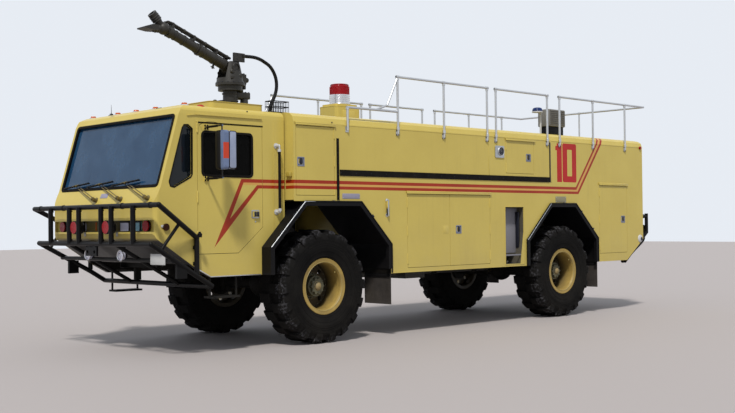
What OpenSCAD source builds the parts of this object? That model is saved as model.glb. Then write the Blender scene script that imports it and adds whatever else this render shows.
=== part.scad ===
// Airport fire truck, four by four, with a roof monitor.
// Forward is +X, the vehicle's left is +Y and up is +Z. Lengths are in millimetres.
// Stations along X are counted from the front axle; at_origin() then centres the truck.

/* [Overall] */
// Distance between the axles
wheelbase = 5266; // [5000:2:5500]
// Width over the body sides
body_w = 2720; // [2660:2:2800]
// Width over the cab sides
cab_w = 2404; // [2340:2:2440]
// Height of the roof deck
roof_z = 3000; // [2960:2:3080]
// Height of the lower edge of the side panels
skirt_z = 870; // [830:2:900]
// Body overhang behind the rear axle
rear_overhang = 2362; // [2300:2:2500]

/* [Wheels] */
// Tyre diameter over the lugs
tyre_d = 1490; // [1460:2:1510]
// Tyre width
tyre_w = 520; // [500:2:526]
// Bead seat diameter of the rim
rim_d = 635; // [610:1:650]
// Diameter of the rim flanges
flange_d = 744; // [720:1:760]
// Distance between the centre planes of the tyres of one axle
track = 2140; // [2120:2:2150]
// Distance from a front tyre's centre plane in to its kingpin
kingpin_inset = 180; // [176:1:186]
// Depth of the tread lugs
lug_h = 44; // [36:1:50]
// Lugs on each shoulder of a tyre
lug_count = 18; // [16:1:22]
// Radius of the spindle's seat in the hub
spindle_r = 70; // [60:1:76]

/* [Cab] */
// Station of the nose
nose_x = 2530; // [2500:2:2580]
// Station of the cab's rear wall
cab_rear_x = 585; // [580:1:600]
// Height of the windscreen's foot
screen_foot_z = 2026; // [2000:2:2050]
// Height of the windscreen's head
screen_head_z = 2875; // [2850:1:2885]
// Thickness of the cab walls and roof
cab_wall = 70; // [64:1:76]
// Rear edge of the cab door
door_rear_x = 945; // [940:1:960]
// Front edge of the cab door
door_front_x = 1925; // [1900:1:1940]

/* [Body] */
// Thickness of the cab doors and the locker doors
door_t = 42; // [36:1:46]
// Gap around each door
door_gap = 6; // [5.5:0.5:8]
// Depth of the lockers
locker_depth = 560; // [480:5:600]
// Height of the belt between the lower body and the tank deck
belt_z = 2280; // [2250:2:2300]
// Height of the tops of the wheel arches
arch_top_z = 1860; // [1840:2:1880]
// Height where the arch flanks turn vertical
arch_shoulder_z = 1280; // [1260:2:1300]
// Thickness of the wheel-arch liners
liner_t = 10; // [6:1:16]

/* [Chassis] */
// Width over the frame rails
frame_w = 864; // [840:2:880]
// Height of the frame rails
rail_h = 230; // [200:2:240]
// Height of the top of the frame
frame_top_z = 1250; // [1240:2:1260]

/* [Guards and rails] */
// Radius of the push guard's tubes
guard_r = 31; // [26:1:36]
// Station of the guard's top bar
guard_x = 2650; // [2640:2:2700]
// Half the guard's width at the top bar
guard_half = 1470; // [1440:2:1500]
// Radius of the roof rails
rail_r = 17; // [14:1:22]
// Height of the upper roof rail
rail_top_z = 3600; // [3560:2:3660]

/* [Roof] */
// Station of the monitor's slewing axis
monitor_x = 530; // [500:2:540]
// Height of the monitor's elevation axis
monitor_pivot_z = 3700; // [3680:2:3720]
// Upward tilt of the barrel at rest
barrel_tilt = 21.5; // [18:0.5:25]
// Length of the barrel from its axis to the fork
barrel_l = 1145; // [1100:5:1180]
// Radius of the beacon's lens
beacon_r = 148; // [130:1:160]

/* [Hidden] */

side_y = body_w / 2;
cab_y = cab_w / 2;
axle_z = tyre_d / 2;
rear_axle_x = -wheelbase;
tail_x = rear_axle_x - rear_overhang;
seat_gap = 0.3;
bend_ball = 1.04;

// Body stations: the locker module stands behind the cab, then the tank, then the engine bay
module_front_x = cab_rear_x - 25;
tank_front_x = module_front_x - 760;
tank_rear_x = rear_axle_x + 410;
pontoon_y = side_y - 670;

// Wheel arches: the flank and top stations of each opening
front_arch = [963, -1180, 393, -610];
rear_arch = [rear_axle_x + 1042, rear_axle_x - 918, rear_axle_x + 410, rear_axle_x - 282];
arch_inner_y = 450;

// Outline of an arch opening, moved inward by e; a = [front, rear, front of top, rear of top]
function arch_outline(a, e = 0, low = 0) =
    let (rise = arch_top_z - arch_shoulder_z,
        af = atan2(rise, a[0] - a[2]), ar = atan2(rise, a[3] - a[1]))
    [[a[0] - e, low], [a[0] - e, arch_shoulder_z - e * tan((90 - af) / 2)],
     [a[2] - e * tan(af / 2), arch_top_z - e], [a[3] + e * tan(ar / 2), arch_top_z - e],
     [a[1] + e, arch_shoulder_z - e * tan((90 - ar) / 2)], [a[1] + e, low]];

// Rectangle from corner to corner with round corners, as a list of points
function round_box(x0, y0, x1, y1, r, n = 4) =
    [for (c = [[x1 - r, y1 - r, 0], [x0 + r, y1 - r, 90], [x0 + r, y0 + r, 180], [x1 - r, y0 + r, 270]])
        for (i = [0 : n]) [c[0] + r * cos(c[2] + 90 * i / n), c[1] + r * sin(c[2] + 90 * i / n)]];

module at_origin() {
    translate([-(guard_front_x + guard_rear_x) / 2, 0, 0]) children();
}

// A profile drawn in X and Z, extruded across the truck from y0 to y1
module across(y0, y1) {
    translate([0, y1, 0]) rotate([90, 0, 0]) linear_extrude(y1 - y0) children();
}

// A profile drawn in Y and Z, extruded along the truck from x0 to x1
module along(x0, x1) {
    translate([x0, 0, 0]) rotate([90, 0, 90]) linear_extrude(x1 - x0) children();
}

module both_sides() {
    children();
    mirror([0, 1, 0]) children();
}

module block(x, y, z) {
    translate([x[0], y[0], z[0]]) cube([x[1] - x[0], y[1] - y[0], z[1] - z[0]]);
}

// Round bar between two points
module rod(p, q, r) {
    v = q - p;
    translate(p) rotate([0, acos(v[2] / norm(v)), atan2(v[1], v[0])]) cylinder(h = norm(v), r = r, $fn = 32);
}

// Tube through a list of points, with a ball at each bend
module tube_path(pts, r) {
    for (i = [0 : len(pts) - 2]) rod(pts[i], pts[i + 1], r);
    if (len(pts) > 2) for (i = [1 : len(pts) - 2]) translate(pts[i]) sphere(r = r * bend_ball, $fn = 24);
}

// Turned piece whose axis points to the left
module turned_y(n = 72) {
    rotate([-90, 0, 0]) rotate_extrude($fn = n) children();
}

module on_wheel(x, side) {
    translate([x, side * track / 2, axle_z]) rotate([0, 0, side > 0 ? 0 : 180]) children();
}

// Chassis

rail_web = 12;
rail_flange = 80;
rail_front_x = 2000;
rail_rear_x = rear_axle_x - 1984;
frame_low_z = frame_top_z - rail_h;
member_x = [rail_front_x - 140, 900, -900, rear_axle_x + 2966, rear_axle_x + 1566, rear_axle_x + 700, rail_rear_x + 10];

module chassis_frame() {
    color("dimgray") at_origin() {
        both_sides() {
            difference() {
                block([rail_rear_x, rail_front_x], [frame_w / 2 - rail_flange, frame_w / 2], [frame_low_z, frame_top_z]);
                block([rail_rear_x - 1, rail_front_x + 1], [frame_w / 2 - rail_flange - 1, frame_w / 2 - rail_web],
                    [frame_low_z + rail_web, frame_top_z - rail_web]);
            }
            // Struts from the rail's front end down to the guard's rear bar
            block([guard_bar3_x - 30, guard_bar3_x + 60], [frame_w / 2 - 60, frame_w / 2 - 20],
                [guard_bar3_z + guard_r + seat_gap, frame_low_z - seat_gap]);
            // Cab step, hung below the sill
            cab_step();
            for (x = [spring_half, -spring_half]) for (ax = [0, rear_axle_x])
                block([ax + x - 45, ax + x + 45], [frame_w / 2 - rail_flange, frame_w / 2],
                    [spring_end_z + seat_gap, frame_low_z - seat_gap]);
        }
        for (x = member_x)
            block([x, x + 60], [-(frame_w / 2 - rail_web - seat_gap), frame_w / 2 - rail_web - seat_gap],
                [frame_low_z + rail_web + seat_gap, frame_top_z - rail_web - seat_gap]);
        tow_pintle();
    }
}

step_x0 = 1300;
step_x1 = 1714;
step_z = 700;
step_bar = 20;
step_arm_z = skirt_z + 90;
module cab_step() {
    block([step_x0, step_x1], [cab_y - 190, cab_y - 10], [step_z - 25, step_z]);
    for (x = [step_x0, step_x1 - step_bar]) {
        block([x, x + step_bar], [cab_y - 90, cab_y - 70], [step_z + seat_gap, step_arm_z - seat_gap]);
        block([x, x + step_bar], [frame_w / 2 + seat_gap, cab_y - 70], [step_arm_z, step_arm_z + step_bar]);
        block([x, x + step_bar], [frame_w / 2 + seat_gap, frame_w / 2 + step_bar], [step_arm_z + step_bar + seat_gap, frame_low_z + 30]);
    }
}

pintle_z = 1140;
pintle_r = 26;
pintle_eye_x = rail_rear_x - 190;
module tow_pintle() {
    difference() {
        union() {
            block([rail_rear_x - 180, member_x[len(member_x) - 1] - seat_gap], [-55, 55], [pintle_z - 22, pintle_z + 22]);
            translate([pintle_eye_x, 0, pintle_z - 22]) cylinder(h = 44, r = 62, $fn = 48);
        }
        translate([pintle_eye_x, 0, pintle_z - 40]) cylinder(h = 80, r = pintle_r, $fn = 48);
    }
}

// Engine and driveline

bearer_y = frame_w / 2 - rail_flange - seat_gap;
engine_x0 = rail_rear_x + 110;
engine_x1 = rear_axle_x - 560;
module engine() {
    color("gray") at_origin()
        block([engine_x0, engine_x1], [-bearer_y, bearer_y], [950, 1960]);
}

transfer_x = rear_axle_x + 2366;
pinion_z = axle_z + 45;
pinion_l = 400;
module driveline() {
    color("dimgray") at_origin() {
        block([transfer_x - 260, transfer_x + 260], [-bearer_y, bearer_y], [frame_low_z - 20, frame_top_z - 40]);
        block([transfer_x - 220, transfer_x + 220], [-180, 180], [pinion_z - 90, frame_low_z - 19]);
        // Shafts to the front and rear axles
        rod([transfer_x + 219, 0, pinion_z], [-pinion_l - seat_gap, 0, pinion_z], 45);
        rod([transfer_x - 219, 0, pinion_z], [rear_axle_x + pinion_l + seat_gap, 0, pinion_z], 45);
        // Gearbox carried on the engine's front face
        block([engine_x1, engine_x1 + 520], [-200, 200], [1010, 1560]);
    }
}

// Axles

spring_y = frame_w / 2 - 42;
spring_half = 620;
spring_end_z = axle_z + 227;
axle_tube_r = 75;

function spring_low(s) = axle_z + axle_tube_r + 2 + 128 * s * s;
function spring_top(s) = spring_low(s) + 22 + 36 * (1 - abs(s));

module leaf_spring() {
    n = 8;
    across(spring_y - 38, spring_y + 38)
        polygon(concat(
            [for (i = [-n : n]) [spring_half * i / n, spring_low(i / n)]],
            [for (i = [n : -1 : -n]) [spring_half * i / n, spring_top(i / n)]]));
}

module axle_housing(pinion) {
    translate([0, 0, axle_z]) sphere(r = 185, $fn = 48);
    rod([0, 0, pinion_z], [pinion * pinion_l, 0, pinion_z], 82);
    both_sides() {
        leaf_spring();
        // Saddle and clamp round the spring
        block([-95, 95], [spring_y - 52, spring_y + 52], [axle_z + 40, axle_z + axle_tube_r + 76]);
    }
}

ear_z0 = 111;
ear_z1 = 150;
ear_r = 55;
pin_r = 28;
kingpin_y = track / 2 - kingpin_inset;

module front_axle() {
    color("black") at_origin() {
        axle_housing(-1);
        rod([0, -(kingpin_y - 100), axle_z], [0, kingpin_y - 100, axle_z], axle_tube_r);
        both_sides() difference() {
            union() {
                block([-50, 50], [kingpin_y - 112, kingpin_y - 62], [axle_z - ear_z1, axle_z + ear_z1]);
                for (z = [ear_z0, -ear_z1]) {
                    block([-50, 50], [kingpin_y - 80, kingpin_y], [axle_z + z, axle_z + z + ear_z1 - ear_z0]);
                    translate([0, kingpin_y, axle_z + z]) cylinder(h = ear_z1 - ear_z0, r = ear_r, $fn = 48);
                }
            }
            translate([0, kingpin_y, axle_z - 200]) cylinder(h = 400, r = pin_r + seat_gap, $fn = 48);
        }
    }
}

hub_end = 60;
spindle_short = 6;
module rear_axle() {
    color("black") at_origin() translate([rear_axle_x, 0, 0]) {
        axle_housing(1);
        rod([0, -(track / 2 - 104), axle_z], [0, track / 2 - 104, axle_z], axle_tube_r + 20);
        both_sides() {
            translate([0, track / 2 - 118, axle_z]) turned_y() polygon([[0, 0], [190, 0], [190, 18], [0, 18]]);
            translate([0, track / 2 - 118, axle_z]) turned_y()
                polygon([[0, 0], [spindle_r - seat_gap, 0], [spindle_r - seat_gap, 118 + hub_end - spindle_short],
                    [0, 118 + hub_end - spindle_short]]);
        }
    }
}

module knuckle() {
    y0 = kingpin_y;
    translate([0, y0, axle_z - 110]) cylinder(h = 220, r = ear_r, $fn = 48);
    translate([0, y0, axle_z - 165]) cylinder(h = 330, r = pin_r, $fn = 48);
    translate([0, track / 2 - 118, axle_z]) turned_y() polygon([[0, 0], [190, 0], [190, 18], [0, 18]]);
    translate([0, y0, axle_z]) turned_y()
        polygon([[0, 0], [spindle_r - seat_gap, 0], [spindle_r - seat_gap, track / 2 - y0 + hub_end - spindle_short],
            [0, track / 2 - y0 + hub_end - spindle_short]]);
    // Steering arm
    block([-240, 0], [y0 - 16, y0 + 16], [axle_z - 108, axle_z - 84]);
    translate([-240, y0, axle_z - 108]) cylinder(h = 24, r = 30, $fn = 32);
}

module knuckle_left() { color("black") at_origin() knuckle(); }
module knuckle_right() { color("black") at_origin() mirror([0, 1, 0]) knuckle(); }

// Wheels

rim_half = 216;
disc_y = -90;
hand_holes = 8;
hub_points = 10;
module wheel() {
    rb = rim_d / 2;
    rf = flange_d / 2;
    difference() {
        turned_y() polygon([[spindle_r, disc_y], [spindle_r, hub_end], [0, hub_end], [0, 108], [50, 108], [58, 100],
            [58, 62], [136, 58], [136, -48], [190, -52], [190, disc_y + 14], [rb - 12, disc_y + 14],
            [rb - 12, rim_half - 20], [rb, rim_half + 4], [rf - 6, rim_half + 12], [rf, rim_half + 6], [rf, rim_half - 4],
            [rb + 14, rim_half - 6], [rb, rim_half - 14], [rb, -(rim_half - 14)], [rb + 14, -(rim_half - 6)],
            [rf, -(rim_half - 4)], [rf, -(rim_half + 6)], [rf - 6, -(rim_half + 12)], [rb, -(rim_half + 4)],
            [rb - 12, -(rim_half - 20)], [rb - 12, disc_y]]);
        for (i = [0 : hand_holes - 1]) rotate([0, i * 360 / hand_holes, 0]) translate([rb - 70, disc_y - 10, 0]) rotate([-90, 0, 0])
            cylinder(h = 40, r = 32, $fn = 32);
    }
    // Planet carrier with its points
    translate([0, 56, 0]) rotate([-90, 0, 0]) linear_extrude(36)
        polygon([for (i = [0 : 2 * hub_points - 1]) (i % 2 == 0 ? 120 : 88) * [cos(180 * i / hub_points), sin(180 * i / hub_points)]]);
}

// Half section of the carcass below the lugs: radius and distance from the centre plane
function carcass(w, r) =
    [[rim_d / 2 + seat_gap, rim_half - 14.6], [flange_d / 2 + seat_gap, rim_half - 5], [flange_d / 2 + 8, rim_half + 16],
     [r - 235, w], [r - 120, w - 6], [r - lug_h, w - 44]];
// Half section of the lugs' envelope
function lug_band(w, r) = [[r - 150, 0], [r - 150, w - 6], [r - 92, w - 2], [r - 26, w - 22], [r, w - 66], [r, 0]];

module lug_ring(turn, side) {
    pitch = 360 / lug_count;
    r = tyre_d / 2;
    intersection() {
        turned_y() polygon([for (p = lug_band(tyre_w / 2, r)) [p[0], side * p[1]]]);
        rotate([90, 0, 0]) translate([0, 0, -tyre_w / 2]) linear_extrude(tyre_w)
            for (i = [0 : lug_count - 1]) rotate(pitch * i + turn)
                polygon([[r - 150, -44], [r - 150, 44], [r + 10, 66], [r + 10, -66]]);
    }
}

module tyre() {
    sec = carcass(tyre_w / 2, tyre_d / 2);
    turned_y() polygon(concat(sec, [for (i = [len(sec) - 1 : -1 : 0]) [sec[i][0], -sec[i][1]]]));
    lug_ring(0, 1);
    lug_ring(180 / lug_count, -1);
}

module wheel_front_left() { color("goldenrod") at_origin() on_wheel(0, 1) wheel(); }
module wheel_front_right() { color("goldenrod") at_origin() on_wheel(0, -1) wheel(); }
module wheel_rear_left() { color("goldenrod") at_origin() on_wheel(rear_axle_x, 1) wheel(); }
module wheel_rear_right() { color("goldenrod") at_origin() on_wheel(rear_axle_x, -1) wheel(); }
module tyre_front_left() { color("black") at_origin() on_wheel(0, 1) tyre(); }
module tyre_front_right() { color("black") at_origin() on_wheel(0, -1) tyre(); }
module tyre_rear_left() { color("black") at_origin() on_wheel(rear_axle_x, 1) tyre(); }
module tyre_rear_right() { color("black") at_origin() on_wheel(rear_axle_x, -1) tyre(); }

// Cab

screen_foot_x = nose_x - 88;
screen_head_x = nose_x - 339;
floor_z = frame_top_z + 40;
cab_low_z = skirt_z + 65;
sill_z = 1220;
door_top_z = 2785;
window_sill_z = 2155;
window_top_z = 2690;

brow_z = 1830;

cab_outline = [[cab_rear_x, cab_low_z], [nose_x - 780, cab_low_z], [nose_x - 600, cab_low_z + 95],
    [nose_x - 30, 1410], [nose_x, 1470], [nose_x, brow_z], [screen_foot_x, screen_foot_z],
    [screen_head_x, screen_head_z], [nose_x - 380, roof_z - 40], [nose_x - 460, roof_z], [cab_rear_x, roof_z]];

cab_room = [[cab_rear_x + cab_wall, floor_z], [nose_x - 400, floor_z], [nose_x - 92, 1500], [nose_x - 84, 1820],
    [screen_foot_x - 72, screen_foot_z - 15], [screen_head_x - 66, screen_head_z - 24],
    [nose_x - 480, roof_z - cab_wall], [cab_rear_x + cab_wall, roof_z - cab_wall]];

// Front view of the cab, with its round roof edges
cab_front = concat([[cab_y, 0], [cab_y, roof_z - 110]],
    [for (a = [15 : 15 : 75]) [cab_y - 90 + 90 * cos(a), roof_z - 90 + 90 * sin(a)]],
    [[cab_y - 100, roof_z], [-(cab_y - 100), roof_z]],
    [for (a = [105 : 15 : 165]) [-(cab_y - 90) + 90 * cos(a), roof_z - 90 + 90 * sin(a)]],
    [[-cab_y, roof_z - 110], [-cab_y, 0]]);

// Outline of the cab door, grown by e; its lower rear corner is cut for the wheel arch
function door_outline(e) = [[door_front_x + e, sill_z - e], [door_front_x + e, door_top_z + e],
    [door_rear_x - e, door_top_z + e], [door_rear_x - e, sill_z + 313 - e * 0.4],
    [door_rear_x + 380 - e * 0.4, sill_z - e]];
function door_window(e) = round_box(door_rear_x + 155 - e, window_sill_z - e, door_front_x - 65 + e, window_top_z + e, 50 + e);

quarter_window = [[nose_x - 396, screen_head_z - 163], [nose_x - 420, screen_head_z - 128], [nose_x - 470, screen_head_z - 125],
    [nose_x - 523, screen_head_z - 165], [nose_x - 519, 2175], [nose_x - 500, 2140], [nose_x - 268, 2020],
    [nose_x - 225, 2030], [nose_x - 209, 2075]];

// Frame along the windscreen: its foot at the origin, +X up the glass and +Z outward
module on_screen() {
    tilt = atan2(screen_head_x - screen_foot_x, screen_head_z - screen_foot_z);
    translate([screen_foot_x, 0, screen_foot_z]) rotate([0, -90 + tilt, 0]) rotate([180, 0, 0]) children();
}
screen_len = norm([screen_head_x - screen_foot_x, screen_head_z - screen_foot_z]);
screen_half = cab_y - 76;
screen_inset = 3;

module screen_cut(y, inset, z0, z1) {
    on_screen() translate([0, 0, -z1]) linear_extrude(z1 - z0)
        polygon(round_box(inset, -y, screen_len - inset, y, 40));
}

lamp_band_z = [1492, 1628];
lamp_band_depth = 50;
lamp_band_half = cab_y - 32;

module cab_shell() {
    color("khaki") at_origin() {
        cab_box();
        // Raised panel on the roof
        translate([0, 0, roof_z - 1]) linear_extrude(roof_panel_h + 1)
            polygon(round_box(cab_rear_x + 205, -(cab_y - 150), cab_rear_x + 1035, cab_y - 150, 60));
    }
}

roof_panel_h = 84;
module cab_box() {
    difference() {
        intersection() {
            across(-cab_y, cab_y) polygon(cab_outline);
            along(cab_rear_x - 5, nose_x + 5) polygon(cab_front);
            // Round front corners in plan
            translate([0, 0, cab_low_z - 5]) linear_extrude(roof_z)
                polygon(round_box(cab_rear_x - 400, -cab_y, nose_x, cab_y, 60));
        }
        // Room
        across(-(cab_y - cab_wall), cab_y - cab_wall) polygon(cab_room);
        // Open underside
        block([cab_rear_x + 415, rail_front_x + 30], [-(cab_y - 60), cab_y - 60], [cab_low_z - 5, frame_top_z]);
        block([cab_rear_x - 5, cab_rear_x + 420], [-arch_inner_y, arch_inner_y], [cab_low_z - 5, frame_top_z]);
        // Wheel arches
        both_sides() across(arch_inner_y - 1, cab_y + 5) polygon(arch_outline(front_arch));
        // Doorways with a stop all round
        both_sides() across(cab_y - door_t - seat_gap, cab_y + 5) polygon(door_outline(door_gap));
        both_sides() across(cab_y - cab_wall - 5, cab_y) polygon(door_outline(-28));
        // Windows
        both_sides() across(cab_y - cab_wall - 5, cab_y + 5) polygon(quarter_window);
        screen_cut(screen_half, screen_inset, -40, 160);
        // Lamp band round the nose
        block([nose_x - lamp_band_depth, nose_x + 5], [-lamp_band_half, lamp_band_half], lamp_band_z);
    }
}

glass_t = 8;
module cab_glass() {
    color("slategray", 0.5) at_origin() {
        on_screen() translate([0, 0, -34]) linear_extrude(glass_t)
            polygon(round_box(screen_inset, -screen_half, screen_len - screen_inset, screen_half, 40));
        both_sides() across(cab_y - 30, cab_y - 30 + glass_t) polygon(quarter_window);
    }
}

module dashboard() {
    color("dimgray") at_origin() {
        translate([-seat_gap, 0, 0]) across(-(cab_y - cab_wall - 10), cab_y - cab_wall - 10) polygon([
            [nose_x - 240, floor_z + (1500 - floor_z) * 160 / 308], [nose_x - 240, 1700], [nose_x - 380, 1760],
            [nose_x - 560, 1980], [nose_x - 540, 2020], [nose_x - 250, 2020],
            [screen_foot_x - 72, screen_foot_z - 15], [nose_x - 84, 1820], [nose_x - 92, 1500]]);
        // Column and steering wheel on the left
        translate([nose_x - 640, 520, 2030]) rotate([0, -48, 0]) {
            translate([0, 0, -300]) cylinder(h = 306, r = 32, $fn = 32);
            rotate_extrude($fn = 48) translate([215, 0]) circle(r = 15, $fn = 8);
            for (a = [30, 150, 270]) rotate([0, 0, a]) translate([0, -12, -6]) cube([212, 24, 10]);
        }
    }
}

seat_x = 1080;
module seats() {
    color("darkslategray") at_origin()
        for (y = [-640, 0, 640]) translate([seat_x, y, 0]) {
            block([-20, 460], [-150, 150], [floor_z, floor_z + 300]);
            translate([0, 0, floor_z + 299]) linear_extrude(130) polygon(round_box(-40, -240, 490, 240, 60));
            rotate([0, -8, 0]) translate([150, 0, 0]) along(-30, 110) polygon(round_box(-230, floor_z + 400, 230, floor_z + 1080, 70));
        }
}

// Cab doors

module cab_door() {
    difference() {
        across(cab_y - door_t, cab_y) polygon(door_outline(0));
        across(cab_y - door_t - 5, cab_y + 5) polygon(door_window(0));
        // Recess on the inner face
        across(cab_y - door_t - 5, cab_y - door_t + 18)
            polygon(round_box(door_rear_x + 400, sill_z + 90, door_front_x - 90, window_sill_z - 90, 40));
    }
    // Handle
    block([door_rear_x + 75, door_rear_x + 155], [cab_y - 1, cab_y + 30], [1660, 1728]);
    // Mirror brackets
    for (z = mirror_arm_z) block([door_front_x - 150, door_front_x - 90], [cab_y - 1, cab_y + 16], [z - 30, z + 30]);
}

module door_glass() {
    across(cab_y - door_t / 2 - glass_t / 2, cab_y - door_t / 2 + glass_t / 2) polygon(door_window(0));
}

mirror_arm_z = [2120, 2740];
mirror_x = door_front_x - 120;
module mirror_set() {
    y1 = cab_y + 330;
    for (s = [0, 1]) {
        z = mirror_arm_z[s];
        up = s == 0 ? 1 : -1;
        rod([mirror_x, cab_y + 16, z], [mirror_x, y1 + 16, z], 9);
        rod([mirror_x, y1, z], [mirror_x, y1, z + up * 130], 9);
    }
    translate([mirror_x, y1, 0]) along(-28, 28)
        polygon(round_box(-95, mirror_arm_z[0] + 98, 95, mirror_arm_z[1] - 58, 40));
}

module cab_door_left() { color("khaki") at_origin() cab_door(); }
module cab_door_right() { color("khaki") at_origin() mirror([0, 1, 0]) cab_door(); }
module door_glass_left() { color("slategray", 0.5) at_origin() door_glass(); }
module door_glass_right() { color("slategray", 0.5) at_origin() mirror([0, 1, 0]) door_glass(); }
module mirror_left() { color("silver") at_origin() mirror_set(); }
module mirror_right() { color("silver") at_origin() mirror([0, 1, 0]) mirror_set(); }

// Front guard

guard_top_z = 1800;
guard_low_z = 1351;
guard_low_x = guard_x + 12;
guard_low_half = guard_half - 145;
guard_bar_x = guard_x + 32;
guard_side_x = nose_x - 560;
guard_bar2_x = 2350;
guard_bar2_z = 1150;
guard_bar3_x = 1750;
guard_bar3_z = 828;
guard_side_y = cab_y + ceil(guard_r * bend_ball) + seat_gap;
guard_front_x = guard_bar_x + guard_r;
guard_rear_x = tail_x - 242;
guard_bars = [980, 500, 265];
flasher_y = 380;
flasher_r = 78;

function between(a, b, t) = a + (b - a) * t;
guard_hip = [guard_x, guard_half, guard_top_z];
guard_shoulder = [guard_side_x, guard_side_y, 1415];
guard_low_hip = [guard_low_x, guard_low_half, guard_low_z];
guard_low_shoulder = [guard_side_x, guard_side_y, 960];

module front_guard() {
    color("black") at_origin() {
        rod([guard_x, -guard_half, guard_top_z], [guard_x, guard_half, guard_top_z], guard_r);
        rod([guard_low_x, -guard_low_half, guard_low_z], [guard_low_x, guard_low_half, guard_low_z], guard_r);
        rod([guard_bar2_x, -guard_low_half + 25, guard_bar2_z], [guard_bar2_x, guard_low_half - 25, guard_bar2_z], guard_r * 0.8);
        rod([guard_bar3_x, -guard_side_y + 10, guard_bar3_z], [guard_bar3_x, guard_side_y - 10, guard_bar3_z], guard_r);
        both_sides() {
            tube_path([guard_hip, guard_shoulder, [guard_side_x, guard_side_y, 985]], guard_r);
            tube_path([guard_low_hip, guard_low_shoulder, [guard_bar3_x, guard_side_y, guard_bar3_z]], guard_r);
            for (hip = [guard_hip, guard_low_hip]) translate(hip) sphere(r = guard_r * bend_ball, $fn = 24);
            // Brace between the two side tubes, and a hanger plate below the lower one
            rod(between(guard_hip, guard_shoulder, 0.54), between(guard_low_hip, guard_low_shoulder, 0.2), 20);
            block([guard_x - 510, guard_x - 370], [guard_side_y + 5, guard_side_y + 45], [guard_bar2_z - 210, guard_bar2_z - 40]);
            for (y = guard_bars) rod([guard_bar_x, y, guard_low_z], [guard_bar_x, y, guard_top_z], guard_r);
            rod([guard_low_x - 12, 550, guard_low_z - 10], [guard_bar3_x, 550, guard_bar3_z], guard_r * 0.8);
            // Hangers of the road lamps and of the round flashers
            block([fog_x - 16, fog_x], [fog_y - 15, fog_y + 15], [fog_z - 20, guard_low_z]);
            block([fog_x - 16, guard_low_x], [fog_y - 15, fog_y + 15], [guard_low_z - 8, guard_low_z + 8]);
            block([guard_x - 20, guard_x + 8], [guard_bars[2], guard_bars[1]], [flasher_z - 12, flasher_z + 12]);
        }
        // Tow plate with two holes below the lower bar
        difference() {
            block([guard_low_x - 20, guard_low_x + 5], [-130, 130], [guard_low_z - 150, guard_low_z - 10]);
            for (y = [-80, 80]) translate([guard_low_x - 40, y, guard_low_z - 100]) rotate([0, 90, 0])
                cylinder(h = 80, r = tow_hole_r, $fn = 48);
        }
    }
}
tow_hole_r = 22;
fog_x = guard_x - 205;
fog_y = 388;
fog_z = 1205;
flasher_z = 1550;

// Lamps

head_y = [525, 765];
outer_lamp_y = 985;
module clear_lenses() {
    color("white") at_origin() {
        both_sides() {
            for (y = head_y) along(nose_x - lamp_band_depth, nose_x - 14)
                polygon(round_box(y - 95, lamp_band_z[0] + 10, y + 95, lamp_band_z[1] - 10, 16));
            translate([fog_x + seat_gap, fog_y, fog_z]) rotate([0, 90, 0]) cylinder(h = 50, r1 = 48, r2 = 64, $fn = 48);
        }
    }
}

module red_lenses() {
    color("red") at_origin() {
        both_sides() {
            translate([nose_x - lamp_band_depth, outer_lamp_y, (lamp_band_z[0] + lamp_band_z[1]) / 2]) rotate([0, 90, 0]) cylinder(h = 40, r = 64, $fn = 48);
            translate([guard_x + 8 + seat_gap, flasher_y, flasher_z]) rotate([0, 90, 0]) cylinder(h = 34, r = flasher_r, $fn = 48);
            // Tail lamps
            for (z = [1520, 1700]) translate([tail_x, side_y - 160, z]) rotate([0, -90, 0]) cylinder(h = 30, r = 58, $fn = 48);
            translate([tail_x + 80, side_y, 2862]) rotate([-90, 0, 0]) cylinder(h = 22, r = 26, $fn = 32);
        }
    }
}

module amber_lenses() {
    color("orange") at_origin() {
        both_sides() {
            translate([nose_x - 148, cab_y, 1545]) rotate([-90, 0, 0]) cylinder(h = 22, r = 42, $fn = 32);
            for (y = [440, 1060]) translate([nose_x - 520, y, roof_z]) cylinder(h = 34, r1 = 46, r2 = 30, $fn = 32);
        }
        translate([nose_x - 520, 0, roof_z]) cylinder(h = 34, r1 = 46, r2 = 30, $fn = 32);
    }
}

// Wipers below the windscreen

wiper_z = 1880;
wiper_out = 50;
wiper_reach = [-109, -592, 186];
blade_end = [[-100, -890, 160], [-118, -300, 214]];
module wipers() {
    lean = atan2(nose_x - screen_foot_x, screen_foot_z - brow_z);
    out = [cos(lean), 0, sin(lean)];
    pivot = [nose_x - (wiper_z - brow_z) * tan(lean), 0, wiper_z];
    color("black") at_origin()
        for (y = [-150, 425, 1020]) {
            p = pivot + [0, y, 0];
            tip = p + wiper_out * out;
            rod(p + seat_gap * out, p + (wiper_out + 10) * out, 24);
            for (e = [-14, 14]) rod(tip + [0, e * 0.4, e], tip + wiper_reach + [0, e * 0.4, e], 6);
            rod(tip + blade_end[0], tip + blade_end[1], 9);
        }
}

// Wheel arches and mud flaps

module arch_liner(a, low) {
    across(arch_inner_y, side_y) difference() {
        polygon(arch_outline(a, 0, low));
        polygon(arch_outline(a, liner_t, low - 1));
    }
    // Flared lip
    across(side_y - 30, side_y + 26) difference() {
        polygon(arch_outline(a, 0, low));
        polygon(arch_outline(a, 62, low - 1));
    }
}

module wheel_arches() {
    color("black") at_origin() both_sides() {
        arch_liner(front_arch, cab_low_z);
        arch_liner(rear_arch, skirt_z);
        // Front skirt of the flare, in front of the body side
        difference() {
            across(cab_y, side_y + 26) polygon(arch_outline(front_arch, 0, cab_low_z));
            across(cab_y - 1, side_y + 27) polygon(arch_outline(front_arch, 20, cab_low_z - 1));
            block([-2000, module_front_x], [0, side_y + 30], [0, 3000]);
        }
    }
}

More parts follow.
